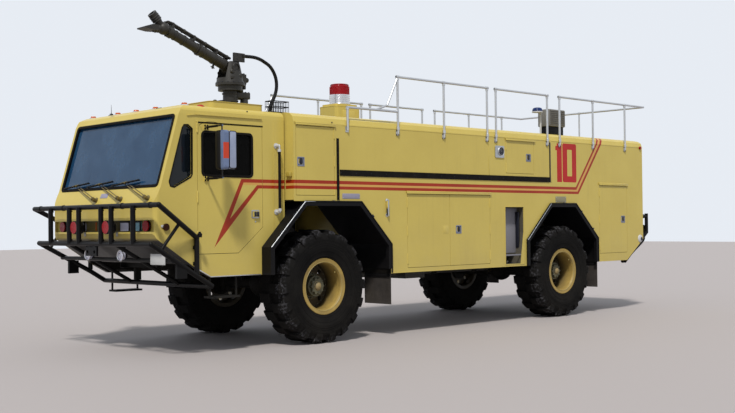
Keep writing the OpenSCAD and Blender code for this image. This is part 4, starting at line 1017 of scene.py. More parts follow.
def add_cab_trim():
    """Drip rails, pressed creases, the brow's joint and the bright lip below the cab."""
    paint, lip = new_shapes(2)
    for side in both:
        stamp(paint, block(1000, 7, 16, 2), on_side(1450, 2884, side, 1200))
        stamp(paint, block(1000, 12, 4, 1.5), on_side(1450, 2889, side, 1214))
        strip(paint, (1950, 2884), (2075, 2868), 7, 14, side, 1200)
        stamp(paint, block(6, 1380, 4, 1.5), on_side(760, 2180, side, 1201))
        strip(lip, (975, 941), (1748, 941), 12, 4, side, 1201)
        strip(lip, (1750, 943), (1928, 1037), 12, 4, side, 1201)
        strip(paint, (1930, 1039), (2490, 1406), 12, 4, side, 1201)
    stamp(paint, block(2280, 9, 4, 1.5), on_brow(0, 1838, -0.5))
    stamp(paint, block(2200, 5, 3, 1), on_front(2529, 0, 1660))
    stamp(paint, round_rim(846, 2120, 66, 26, 6, 2), on_top(1205, 0, 3084))
    for x in (830, 1205, 1580):
        for y in (-1020, -510, 0, 510, 1020):
            if abs(y) == 1020 or x != 1205:
                stamp(paint, bolt(6, 4), on_top(x, y, 3084))
    make_piece("cab_trim", paint, body_paint)
    make_piece("cab_lip", lip, rail_alloy)


def add_door_fittings():
    """Outer latch with its bezel, inner handle, armrest, winder and pocket of each cab door."""
    for side, hand in hands:
        body = f"cab_door_{hand}"
        bright, dark = new_shapes(2)
        stamp(bright, round_rim(124, 104, 18, 20, 6, 1.5), on_side(1060, 1694, side, 1201))
        stamp(dark, block(36, 60, 5, 2), on_side(1040, 1694, side, 1231))
        stamp(dark, block(36, 60, 4, 2), on_side(1080, 1694, side, 1231))
        stamp(bright, turned([(0, 6), (9, 6), (11, 3), (11, 0), (0, 0)], 24), on_side(1060, 1600, side, 1201))
        inside = on_side(1400, 1840, side, 1160) @ turned_by(180, "Y")
        stamp(dark, block(420, 46, 52, 12, 3), inside)
        stamp(dark, block(300, 150, 40, 14, 3), inside @ shift(20, -430, 0))
        winder = inside @ shift(0, 190, 0)
        stamp(dark, turned([(0, 24), (16, 24), (24, 12), (26, 0), (0, 0)], 24), winder)
        stamp(bright, bar(Vector(mm(0, 0, 26)), Vector(mm(88, 0, 34)), 6), winder)
        stamp(dark, turned([(0, 34), (13, 32), (13, 4), (8, 0), (0, 0)], 20), winder @ shift(88, 0, 30))
        lever = side * 300
        stamp(bright, round_rim(150, 60, 16, 8, 5, 1.5), inside @ shift(lever, 170, 0))
        stamp(bright, block(96, 20, 12, 5), inside @ shift(lever, 170, 5))
        make_piece(f"door_latch_{hand}", bright, stainless, body)
        make_piece(f"door_lining_{hand}", dark, dark_steel, body)


def add_mirrors():
    """Glass, front plates, rubber rim, arm sleeves and stay of each mirror, and its narrow second casing."""
    for side, hand in hands:
        body = f"cab_door_{hand}"
        bright, dark, case = new_shapes(3)
        front = on_front(1833, side * 1532, 2450)
        stamp(case, round_plate(84, 438, 24, 7, 3, 3), *[front @ shift(u, 0, -2) for u in (-47, 47)])
        rear = on_rear(1777, side * 1532, 2450)
        stamp(bright, round_plate(166, 300, 22, 3, 1), rear @ shift(0, 66, 0))
        stamp(bright, round_plate(166, 116, 22, 3, 1), rear @ shift(0, -160, 0))
        stamp(dark, round_rim(188, 462, 38, 9, 9, 2), rear @ shift(0, 0, -2))
        stamp(dark, block(8, 430, 5, 1), front @ shift(0, 0, -1))
        for z in (2120, 2740):
            stamp(dark, bar(at(1805, side * 1250, z), at(1805, side * 1440, z), 14, 16))
            stamp(dark, bolt(9, 6), *corners(on_side(1805, z, side, 1218), 18, 18))
        stamp(dark, tube([at(1898, side * 1204, 2762), at(1880, side * 1300, 2790), at(1840, side * 1440, 2780),
                          at(1805, side * 1532, 2742)], 3, 8))
        # Narrow second casing behind the first, with its plate outwards
        stamp(case, block(108, 452, 58, 16, 3), on_side(1712, 2450, side, 1560))
        stamp(case, round_plate(92, 430, 20, 4, 2), on_side(1712, 2450, side, 1617))
        stamp(dark, round_rim(108, 448, 24, 8, 5, 1.5), on_side(1712, 2450, side, 1616))
        for z in (2290, 2610):
            stamp(dark, block(44, 30, 26, 5), on_side(1772, z, side, 1566))
        make_piece(f"mirror_glass_{hand}", bright, mirror_silver, body)
        make_piece(f"mirror_cases_{hand}", case, mirror_case, body)
        make_piece(f"mirror_rubber_{hand}", dark, black_rubber, body)


def add_grab_rails():
    """Rubber sleeves and white ends of the grab rails behind the cab doors."""
    rubber, white = new_shapes(2)
    for side in both:
        stamp(rubber, bar(at(720, side * 1272, 1752), at(720, side * 1272, 2500), 18, 20))
        for z in (1750, 2500):
            stamp(white, turned([(14, -20), (24, -18), (24, 12), (14, 16)], 24), on_top(720, side * 1272, z))
        for z in (1720, 2560):
            stamp(white, turned([(0, 70), (18, 64), (24, 40), (20, 12), (36, 8), (36, 0), (0, 0)], 28),
                  on_side(720, z, side, 1202))
            stamp(white, bolt(5, 4), *[on_side(720 + u, z, side, 1210) for u in (-29, 29)])
    make_piece("grab_sleeves", rubber, black_rubber)
    make_piece("grab_ends", white, white_paint)


def add_nose_lamps():
    """Bezels and reflectors of the head lamps, the ribbed centre panel, side markers with a cream plate as painted
    highlight, and brow lamps' rims.
    """
    black, chrome, white, orange = new_shapes(4)
    for y in (-765, -525, 525, 765):
        front = on_front(2516, y, 1560)
        stamp(black, round_rim(206, 130, 18, 9, 16, 3), front @ shift(0, 0, -12))
        stamp(black, block(186, 16, 6, 2), front @ shift(0, 50, -2))
    for side in both:
        stamp(black, turned([(64, 0), (76, 0), (78, 8), (74, 18), (66, 16)], 40), on_front(2492, side * 985, 1560))
        # Cream plate at each side marker: a painted highlight on it.
        stamp(white, round_plate(56, 30, 14, 5, 1.5), on_side(2424, 1556, side, 1208))
        stamp(white, block(36, 50, 10, 3), on_front(2525, side * 381, 1464))
        stamp(chrome, turned([(46, 0), (58, 0), (58, 6), (50, 12), (46, 8)], 28),
              *[on_top(2010, y, 3000) for y in (side * 440, side * 1060)])
    stamp(chrome, turned([(46, 0), (58, 0), (58, 6), (50, 12), (46, 8)], 28), on_top(2010, 0, 3000))
    band = bmesh.new()
    stamp(band, round_plate(812, 122, 12, 8, 2), on_front(2480, 0, 1560))
    for i in range(-16, 17):
        stamp(band, block(7, 108, 10, 2), on_front(2486, i * 24, 1560))
    make_piece("lamp_band_panel", band, body_paint)
    stamp(orange, block(18, 104, 7, 3), on_front(2494, -165, 1560))
    make_piece("lamp_bezels", black, arch_black)
    make_piece("lamp_rims", chrome, bright_chrome)
    make_piece("nose_brackets_and_highlights", white, white_paint)
    make_piece("nose_reflectors", orange, amber_lens)


def add_wiper_details():
    """Spindle caps, blade yokes and rubber blades."""
    metal, rubber = new_shapes(2)
    pivot = at(2530 - 50 * math.tan(brow_lean), 0, 1880)
    for y in (-150, 425, 1020):
        foot = frame_of(pivot + Vector((0, y / 1000, 0)), (0, 1, 0), brow_up, brow_out)
        stamp(metal, turned([(0, 76), (12, 74), (15, 60), (28, 58), (28, 44), (24, 40), (24, 8), (44, 6), (44, 0),
                             (0, 0)], 28), foot)
        tip = pivot + Vector((0, y / 1000, 0)) + brow_out * 0.050
        a = tip + Vector(mm(-100, -890, 160))
        b = tip + Vector(mm(-118, -300, 214))
        middle_arm = tip + Vector(mm(-109, -592, 186))
        along = (b - a).normalized()
        for t in (0.12, 0.36, 0.64, 0.88):
            stamp(metal, bar(a.lerp(b, t), a.lerp(b, t) - screen_out * 0.014, 5, 10))
        for t0, t1 in ((0.36, 0.5), (0.5, 0.64)):
            stamp(metal, bar(a.lerp(b, t0) + screen_out * 0.008, a.lerp(b, t1) + screen_out * 0.022, 4, 8))
        stamp(metal, turned([(0, 16), (10, 15), (13, 8), (13, -6), (0, -8)], 20),
              frame_of(middle_arm, along, screen_out.cross(along), screen_out))
        blade_place = frame_of((a + b) / 2 - screen_out * 0.024, along, screen_out.cross(along), screen_out)
        stamp(rubber, block((b - a).length * 1000, 8, 18, 2), blade_place)
    make_piece("wiper_caps", metal, brass)
    make_piece("wiper_blades", rubber, black_rubber)


def add_plates():
    """Plain plates without words: on the brow, over the arches, and at the number plates' places."""
    metal, frame_black = new_shapes(2)
    lavender, olive = new_shapes(2)
    stamp(lavender, round_plate(170, 62, 6, 3, 0.8), on_brow(12, 1937))
    stamp(metal, round_plate(312, 129, 10, 3, 0.8), on_front(2378, 1029, 1166))
    stamp(frame_black, block(30, 150, 12, 2), *[on_front(2368, y, 1160) for y in (930, 1128)])
    stamp(metal, bolt(5, 3), *corners(on_front(2381, 1029, 1166), 130, 46))
    for side in both:
        stamp(lavender, round_plate(320, 70, 8, 3, 0.8), on_side(-436, 1929, side))
        stamp(olive, round_plate(292, 98, 8, 3, 0.8), on_side(-5150, 1922, side))
        for x, z, half_w, half_h in ((-436, 1929, 146, 24), (-5150, 1922, 132, 36)):
            stamp(metal, bolt(4, 2.5), *corners(on_side(x, z, side, 1363), half_w, half_h))
    stamp(metal, round_plate(520, 130, 10, 3, 0.8), on_rear(-7630, 800, 1380))
    stamp(frame_black, round_rim(536, 146, 14, 12, 8, 2), on_rear(-7628, 800, 1380))
    make_piece("plain_plates", metal, white_paint)
    make_piece("front_arch_plates", lavender, plate_lavender)
    make_piece("rear_arch_plates", olive, plate_olive)
    make_piece("plate_holders", frame_black, arch_black)


# Front guard and its lamps

def add_guard_details():
    """Weld collars and clamps on the guard, its step brackets and bolts, housings and rims of its lamps."""
    black, chrome = new_shapes(2)
    collar = [(31, -9), (35, -6), (36, 0), (35, 6), (31, 9)]
    for y in (-980, -500, -265, 265, 500, 980):
        for z in (1395, 1756):
            stamp(black, turned(collar, 28), on_top(2677, y, z))
    for y in (-1300, 1300, -700, 700):
        stamp(black, sleeve(31, 37, 16, 14, 28), across(2650, y, 1800))
    for side in both:
        stamp(black, turned([(0, 30), (58, 26), (76, 8), (80, -34), (60, -36), (0, -36)], 40),
              on_front(2622, side * 380, 1550))
        stamp(black, turned([(77, -4), (82, -4), (83, 4), (83, 30), (80, 35), (76, 34)], 48),
              on_front(2658, side * 380, 1550))
        stamp(black, turned([(0, -34), (36, -30), (52, -8), (50, 4), (0, 4)], 32), on_front(2445, side * 388, 1205))
        stamp(chrome, turned([(62, 44), (69, 42), (70, 52), (66, 56), (60, 52)], 40), on_front(2445, side * 388, 1205))
        stamp(chrome, turned([(20, 51), (26, 53), (34, 51)], 28), on_front(2445, side * 388, 1205))
        stamp(black, bolt(7, 5), on_front(2671, side * 236, 1550), on_front(2671, side * 500, 1550))
        stamp(black, block(70, 40, 12, 3), on_side(1970, 1300, side, 1202), on_side(1970, 1110, side, 1202))
        for x, z in ((1990, 1300), (1950, 1300), (1990, 1110), (1950, 1110)):
            stamp(black, bolt(7, 5), on_side(x, z, side, 1214))
        stamp(black, turned([(0, -60), (26, -60), (30, -20), (16, -6), (16, 6), (0, 8)], 24),
              on_top(2000, side * 1340, 1480))
    stamp(black, bolt(9, 7), *[on_front(2667, y, 1322) for y in (-105, 0, 105)])
    make_piece("guard_fittings", black, guard_black)
    make_piece("guard_lamp_rims", chrome, bright_chrome)


# Wheels

def add_wheel_details():
    """Studs, carrier bolts, hub cap, rim rings, valve and tread-side ribs of each wheel, which turn with it."""
    for name, x in (("front", 0), ("rear", -5266)):
        for side, hand in hands:
            body = f"wheel_{name}_{hand}"
            hub = on_side(x, 745, side, 1070)
            bright, dark, tan, ribs = new_shapes(4)
            for radius, out, size in ((320, 219, 5), (366, 223, 4)):
                stamp(bright, turned([(radius - size, out), (radius, out + size), (radius + size, out),
                                      (radius, out - size)], 72), hub)
            stamp(dark, turned([(0, 26), (6, 25), (7, 14), (14, 13), (15, 2), (20, 2), (20, 0), (0, 0)], 6),
                  *round_places(hub, 20, 163, -52))
            stamp(dark, bolt(7, 7), *round_places(hub, 10, 104, 91))
            stamp(dark, bolt(6, 5), *round_places(hub, 24, 288, -77))
            stamp(tan, turned([(0, 128), (26, 126), (40, 118), (52, 106), (56, 96), (64, 92), (0, 92)], 40), hub)
            stamp(tan, bolt(12, 8), hub @ shift(0, 0, 127))
            stem = hub @ turned_by(40, "Z")
            stamp(bright, tube([stem @ Vector(mm(303, 0, 170)), stem @ Vector(mm(288, 0, 190)),
                                stem @ Vector(mm(262, 0, 206))], 6, 8))
            for radius, out, size in ((402, 236, 4), (470, 252, 3), (540, 258.5, 4), (566, 257.5, 3), (608, 254.5, 4)):
                stamp(ribs, turned([(radius - 2 * size, out - 4), (radius - size, out + size),
                                    (radius + size, out + size - 1), (radius + 2 * size, out - 4)], 96), hub)
            stamp(ribs, block(34, 7, 6, 2), *round_places(hub, 36, 588, 253))
            make_piece(f"rim_rings_{name}_{hand}", bright, rim_ring, body)
            make_piece(f"wheel_nuts_{name}_{hand}", dark, hub_iron, body)
            make_piece(f"hub_cap_{name}_{hand}", tan, hub_tan, body)
            make_piece(f"tyre_ribs_{name}_{hand}", ribs, tyre_rubber, body)


def add_flares():
    """Bead along the flares' outer edges, their fixing clips, the brackets of the mud flaps, and bright strips as
    painted highlight.
    """
    black, clips, pale_marks = new_shapes(3)
    for side in both:
        for bead in (((963, 940), (963, 1276), (393, 1856), (-610, 1856), (-1180, 1276), (-1180, 880)),
                     ((-4224, 880), (-4224, 1276), (-4856, 1856), (-5548, 1856), (-6184, 1276), (-6184, 880))):
            points = [at(x, side * 1386, z) for x, z in bead]
            for a, b in zip(points, points[1:]):
                stamp(black, bar(a, b, 9, 14))
        # Stainless strips on the front slopes and top of the flares: a painted highlight of the sky on their glossy
        # black.
        stamp(pale_marks, bar(at(958, side * 1391, 1280), at(393, side * 1391, 1853), 7, 12))
        stamp(pale_marks, bar(at(393, side * 1391, 1853), at(80, side * 1391, 1856), 6, 12, 2))
        stamp(pale_marks, bar(at(-4228, side * 1391, 1278), at(-4856, side * 1391, 1853), 6, 12))
        for x, z, turn in ((578, 1684, -45), (790, 1468, -45), (-820, 1664, 45), (-4660, 1676, 43), (-4380, 1418, 43),
                           (-5700, 1720, -43), (-6030, 1430, -43), (-100, 1860, 0), (-5200, 1860, 0)):
            place = on_side(x, z, side, 1380) @ turned_by(-side * turn, "Z")
            stamp(clips, block(46, 22, 12, 3), place)
            stamp(clips, bolt(5, 3), place @ shift(0, 0, 12))
        for x in (-1197, -6201):
            stamp(black, block(500, 46, 6, 2), on_front(x + 11, side * 1075, 838))
            for y in (880, 1000, 1140, 1260):
                stamp(black, bolt(6, 4), on_front(x + 17, side * y, 838))
        stamp(clips, block(18, 18, 8, 3), on_side(1160, 2972, side, 1180), on_side(-104, 2894, side, 1356))
    make_piece("flare_beads", black, arch_black)
    make_piece("flare_clips", clips, dark_steel)
    make_piece("flare_highlight_strips", pale_marks, stainless)


# Body sides

def add_side_details():
    """Rub-strip rivets, the two-part handle, step blocks, round gauge, lower edge strips and the tail's caps."""
    bright, dark, white, yellow, pale = new_shapes(5)
    for side in both:
        for i in range(17):
            stamp(dark, bolt(5, 3), on_side(-4790 + 284 * i, 2237, side, 1368))
        for i in range(6):
            stamp(dark, bolt(5, 3), on_side(-200, 1920 + 146 * i, side, 1368))
        stamp(white, block(38, 96, 26, 8, 3), on_side(-1110, 1822, side, 1366))
        stamp(dark, block(34, 92, 24, 8, 3), on_side(-1110, 1716, side, 1366))
        stamp(bright, turned([(0, 6), (20, 6), (26, 3), (26, 0), (0, 0)], 24), on_side(-1110, 1676, side),
              on_side(-1110, 1876, side))
        stamp(dark, block(26, 640, 7, 2), on_side(-4868, 2520, side))
        stamp(white, block(20, 196, 6, 2), on_side(-4892, 2300, side))
        stamp(yellow, block(84, 62, 44, 8, 3), on_front(560, side * 1290, 2200))
        gauge = on_side(-3600, 2650, side, 1374)
        stamp(dark, turned([(0, 6), (58, 6), (64, 0), (0, 0)], 40), gauge)
        stamp(bright, turned([(58, 0), (72, 0), (72, 8), (66, 13), (60, 9)], 40), gauge)
        stamp(bright, block(10, 3, 2, 0.5), *round_places(gauge, 4, 44, 6))
        stamp(bright, block(4, 44, 3, 1), gauge @ turned_by(35, "Z") @ shift(0, 14, 6))
        stamp(bright, bolt(5, 3), *corners(on_side(-3570.5, 2643.5, side, 1374), 92, 76))
        stamp(pale, turned([(0, 26), (44, 22), (66, 10), (70, 0), (0, 0)], 40), on_side(-7524, 1242, side, 1359))
        stamp(dark, turned([(0, 12), (30, 9), (34, 0), (0, 0)], 24), on_side(-7540, 1238, side, 1378))
        strip(white, (-1200, 876), (-4130, 876), 10, 4, side)
        strip(white, (-6200, 876), (-7090, 876), 10, 4, side)
        strip(white, (-7094, 880), (-7620, 1240), 10, 4, side)
    make_piece("side_bright", bright, rail_alloy)
    make_piece("side_dark", dark, dark_steel)
    make_piece("side_painted", white, body_paint)
    make_piece("tail_caps", pale, white_paint)
    make_piece("side_blocks", yellow, mount_yellow)


def add_pump_bay():
    """Pale panels, shelf lip and latch in the open bay, its frame, and the outlet's ring, lugs and coupled hose."""
    panel, bright, dark, paint = new_shapes(4)
    for side in both:
        stamp(panel, round_plate(434, 700, 12, 4, 1), on_side(-3925, 1428, side, 1231))
        edge = side_outline([(-3706, 1070), (-3706, 1790), (-3712, 1790), (-3712, 1070)], side, -3706, 1430)
        stamp(panel, plate(edge, 110, 1), on_side(-3706, 1430, side, 1236))
        stamp(panel, block(430, 24, 10, 3), on_side(-3926, 1048, side, 1336))
        for z in (1103, 1428, 1753):
            stamp(bright, bolt(5, 3), on_side(-4115, z, side, 1235), on_side(-3735, z, side, 1235))
        stamp(dark, block(34, 44, 10, 4), on_side(-3800, 1682, side, 1235))
        stamp(dark, block(40, 560, 60, 8), on_side(-4120, 1440, side, 1235))
        stamp(paint, round_rim(480, 912, 10, 13, 5, 2), on_side(-3927, 1352, side, 1359))
        stamp(dark, turned([(36, 0), (52, 0), (54, 8), (48, 20), (38, 22)], 32), on_side(-3865, 985, side, 1128))
        for turn in (45, 225):
            lug = on_side(-3865, 985, side, 1098) @ turned_by(turn, "Z") @ shift(0, 66, 0)
            stamp(bright, block(16, 30, 14, 4), lug)
        stamp(dark, tube([at(-4000, side * 960, 930), at(-3960, side * 1040, 940), at(-3930, side * 1100, 1000),
                          at(-3960, side * 1130, 1040)], 18, 12))
        stamp(bright, sleeve(18, 30, 16, 14, 24), on_top(-3962, side * 1131, 1024))
        stamp(bright, bar(at(-4010, side * 1150, 960), at(-3950, side * 1190, 940), 14, 16))
    make_piece("bay_panels", panel, bay_grey)
    make_piece("bay_fittings", bright, stainless)
    make_piece("bay_dark", dark, dark_steel)
    make_piece("bay_frames", paint, body_paint)


def add_tail():
    """Louvre blades, bezels of the tail lamps, reflectors, the pintle's latch and bolts on the rear bars."""
    paint, black, chrome, red = new_shapes(4)
    for z in range(1700, 2700, 100):
        stamp(paint, block(1236, 5, 62, 1.5), frame_of(at(-7626, 0, z + 62), (0, -1, 0), (0.5, 0, 0.866),
                                                       (-0.866, 0, 0.5)) @ shift(0, 0, -58))
    stamp(paint, round_rim(1316, 1100, 20, 32, 6, 2), on_rear(-7627, 0, 2180))
    stamp(black, bolt(6, 4), *[on_rear(-7633, u, 2180 + v) for u in (-640, 640) for v in (-520, -260, 0, 260, 520)])
    for side in both:
        for z in (1520, 1700):
            stamp(chrome, turned([(56, 0), (70, 0), (70, 14), (62, 34), (56, 30)], 40), on_rear(-7627, side * 1200, z))
            stamp(chrome, bolt(4, 3), *corners(on_rear(-7628, side * 1200, z), 64, 64))
        stamp(red, turned([(0, 8), (30, 7), (36, 3), (38, 0), (0, 0)], 32), on_rear(-7628, side * 1200, 1360))
        stamp(black, block(90, 46, 10, 3), *[on_rear(-7627, side * y, z) for y, z in ((1300, 1640), (430, 1450))])
        stamp(paint, block(8, 1560, 4, 1.5), on_rear(-7627, side * 1080, 2060))
        stamp(black, sleeve(31, 36, 8, 6, 24), across(-7834, side * 1240, 1640), across(-7834, side * 1240, 1450))
        bent = [at(x, side * y, z) for x, y, z in ((-7834, 1240, 1452), (-7834, 1240, 1300), (-7818, 1240, 1204),
                                                   (-7520, 1246, 1040), (-7180, 1256, 858), (-7090, 1256, 846))]
        stamp(black, tube(bent, 23, 14))
        for x, z, top in ((-7560, 1056, 1190), (-7220, 876, 960)):
            stamp(black, bar(at(x, side * 1248, z), at(x, side * 1248, top), 16, 14))
    stamp(black, block(150, 30, 26, 6, 3), on_top(-7400, 0, 1162))
    stamp(chrome, turned([(0, 40), (16, 38), (18, 20), (10, 12), (10, 0), (0, 0)], 20), on_top(-7340, 0, 1162))
    stamp(black, round_rim(200, 200, 96, 34, 8, 2), on_rear(-7440, 0, 1140) @ turned_by(90, "X") @ shift(0, 0, -26))
    make_piece("louvre_blades", paint, body_paint)
    make_piece("tail_fixings", black, arch_black)
    make_piece("tail_bezels", chrome, bright_chrome)
    make_piece("tail_reflectors", red, red_lens)


# Roof

def add_rails():
    """Collars and feet of the rails' posts, the rear mid post and the deck's tread plates."""
    alloy, black = new_shapes(2)
    posts = (-1330, -2290, -3270, -3480, -4785, -5120, -6070, -7050)
    for side in both:
        for x in posts:
            stamp(alloy, sleeve(17, 22, 26, 24, 24), on_front(x, side * 1378, 3600))
            stamp(alloy, turned([(17, -30), (22, -28), (22, 0), (17, 2)], 24), on_top(x, side * 1378, 3584))
            stamp(alloy, block(56, 74, 6, 3), on_side(x, 2818, side, 1366))
            stamp(alloy, sleeve(17, 24, 24, 20, 24), on_top(x, side * 1378, 2880))
            stamp(black, bolt(6, 4), *corners(on_side(x, 2818, side, 1371), 20, 28))
        stamp(alloy, turned([(17, -30), (22, -28), (22, 0), (17, 2)], 24), on_top(-370, side * 1378, 3108))
    stamp(alloy, bar(at(-7658, 0, 3004), at(-7658, 0, 3600), 15, 20))
    stamp(alloy, block(70, 70, 30, 4), on_rear(-7628, 0, 2990) @ shift(0, 0, -2))
    stamp(alloy, sleeve(17, 22, 26, 24, 24), across(-7658, 0, 3600))
    for x in range(-6900, -600, 600):
        if not (-2400 < x < -1800 or -3300 < x < -2700 or abs(x + 1500) < 330):
            stamp(black, block(520, 1500, 6, 3), on_top(x, 0, 2999))
            for i in range(-6, 7):
                stamp(black, block(440, 10, 4, 1.5), on_top(x, i * 110, 3005))
    make_piece("rail_joints", alloy, rail_alloy)
    make_piece("deck_treads", black, arch_black)


def add_hatches():
    """Round hatches with stiffening ribs, handles and hinges."""
    paint, bright = new_shapes(2)
    for x in (-2100, -3000):
        stamp(paint, turned([(0, 14), (200, 12), (236, 6), (262, 4), (268, -2), (268, -18), (258, -20)], 56),
              on_top(x, 0, 3069))
        stamp(paint, block(190, 14, 6, 3), *round_places(on_top(x, 0, 3080), 8, 120))
        grip = [at(x + u, 0, z) for u, z in ((-70, 3080), (-66, 3120), (66, 3120), (70, 3080))]
        stamp(bright, tube(grip, 9, 12, 5))
        for side in both:
            stamp(bright, block(60, 34, 30, 6, 3), on_top(x, side * 272, 3040))
            stamp(bright, turned([(0, 50), (12, 48), (12, 4), (8, 0), (0, 0)], 20), on_top(x, side * 285, 3040))
    make_piece("hatch_lids", paint, body_paint)
    make_piece("hatch_handles", bright, stainless)


def add_beacon_details():
    """Flanges and plates of the beacon's pod, rings of its base and ribs of its lens."""
    paint, chrome, red = new_shapes(3)
    stamp(paint, round_rim(540, 440, 70, 38, 8, 2), on_top(-1500, 0, 3000))
    stamp(paint, round_rim(506, 406, 62, 18, 8, 2), on_top(-1500, 0, 3292))
    stamp(paint, bolt(6, 4), *[on_top(-1500 + u, v, 3007) for u in (-225, 0, 225) for v in (-196, 196)])
    stamp(paint, round_plate(260, 180, 16, 5, 2), on_side(-1500, 3150, 1, 198), on_side(-1500, 3150, -1, 198))
    stamp(chrome, turned([(165, 14), (169, 8), (165, 2)], 56), on_top(-1500, 0, 3335))
    for z in (3372, 3400, 3428, 3456):
        stamp(chrome, turned([(151, 0), (156, 4), (156, 8), (151, 12)], 56), on_top(-1500, 0, z))
    stamp(red, block(6, 5, 116, 2), *round_places(on_top(-1500, 0, 3492), 36, 146.5))
    stamp(red, turned([(112, 0), (130, 4), (141, -6)], 56), on_top(-1500, 0, 3641))
    stamp(chrome, turned([(0, 6), (9, 5), (10, 0), (0, 0)], 20), on_top(-1500, 0, 3644))
    make_piece("beacon_pod_trim", paint, body_paint)
    make_piece("beacon_rings", chrome, bright_chrome)
    make_piece("beacon_ribs", red, red_lens)


def add_roof_fittings():
    """Wire basket, aerial, louvred box, blue lamp on its post and red markers on the roof."""
    wire, black, paint, blue, white = new_shapes(5)
    x0, x1, y0, y1 = 440, 723, 1000, 1130
    for z in (3003, 3075, 3146):
        ring = [at(x0, y0, z), at(x1, y0, z), at(x1, y1, z), at(x0, y1, z)]
        for a, b in zip(ring, ring[1:] + ring[:1]):
            stamp(wire, bar(a, b, 6, 8))
    for i in range(11):
        x = x0 + (x1 - x0) * i / 10
        for y in (y0, y1):
            stamp(wire, bar(at(x, y, 3003), at(x, y, 3146), 3.5, 6))
        stamp(wire, bar(at(x, y0, 3006), at(x, y1, 3006), 3.5, 6))
    for y in (1030, 1060, 1100):
        stamp(wire, bar(at(x0, y, 3006), at(x1, y, 3006), 3.5, 6))
    for y in (1033, 1065, 1097):
        for a, b in ((x0, x0 + 1), (x1, x1 - 1)):
            stamp(wire, bar(at(a, y, 3003), at(b, y, 3146), 3.5, 6))
    stamp(black, turned([(0, 14), (10, 14), (22, 6), (26, 0), (0, 0)], 24), on_top(2131, -400, 2999))
    stamp(black, bar(at(2131, -400, 3010), at(2131, -400, 3126), 4, 10, 1.5))
    stamp(paint, block(450, 240, 290, 16, 3), on_top(-5555, 900, 2999) @ shift(0, 0, 162))
    stamp(black, block(400, 190, 160, 4), on_top(-5555, 900, 3000))
    for i in range(8):
        for y, lean in ((1021, -25), (779, 25)):
            stamp(paint, block(390, 6, 24, 2), on_top(-5555, y, 3184 + 32 * i) @ turned_by(lean, "X"))
    stamp(paint, round_rim(430, 274, 14, 16, 5, 1.5), on_side(-5555, 3306, 1, 1018))
    stamp(blue, turned([(0, 60), (50, 58), (72, 48), (84, 22), (84, 0), (0, 0)], 40), on_top(-5030, 1000, 3392))
    stamp(white, turned([(0, 0), (70, 0), (90, -6), (90, -22), (40, -28), (0, -28)], 40), on_top(-5030, 1000, 3392))
    stamp(white, bar(at(-5112, 1000, 3002), at(-5112, 1000, 3372), 16, 20))
    stamp(white, block(110, 30, 8, 3), on_top(-5075, 1000, 3364))
    stamp(white, block(110, 90, 8, 3), on_top(-5112, 1000, 2999))
    lamps = bmesh.new()
    for side in both:
        stamp(lamps, turned([(0, 72), (26, 69), (48, 54), (60, 28), (62, 0), (0, 0)], 36),
              on_top(1800, side * 1092, 2952))
    make_piece("roof_markers", lamps, roof_red)
    make_piece("roof_basket", wire, guard_black)
    make_piece("roof_dark", black, arch_black)
    make_piece("roof_box", paint, inner_grey)
    make_piece("roof_lamp", blue, blue_lens)
    make_piece("roof_lamp_post", white, white_paint)


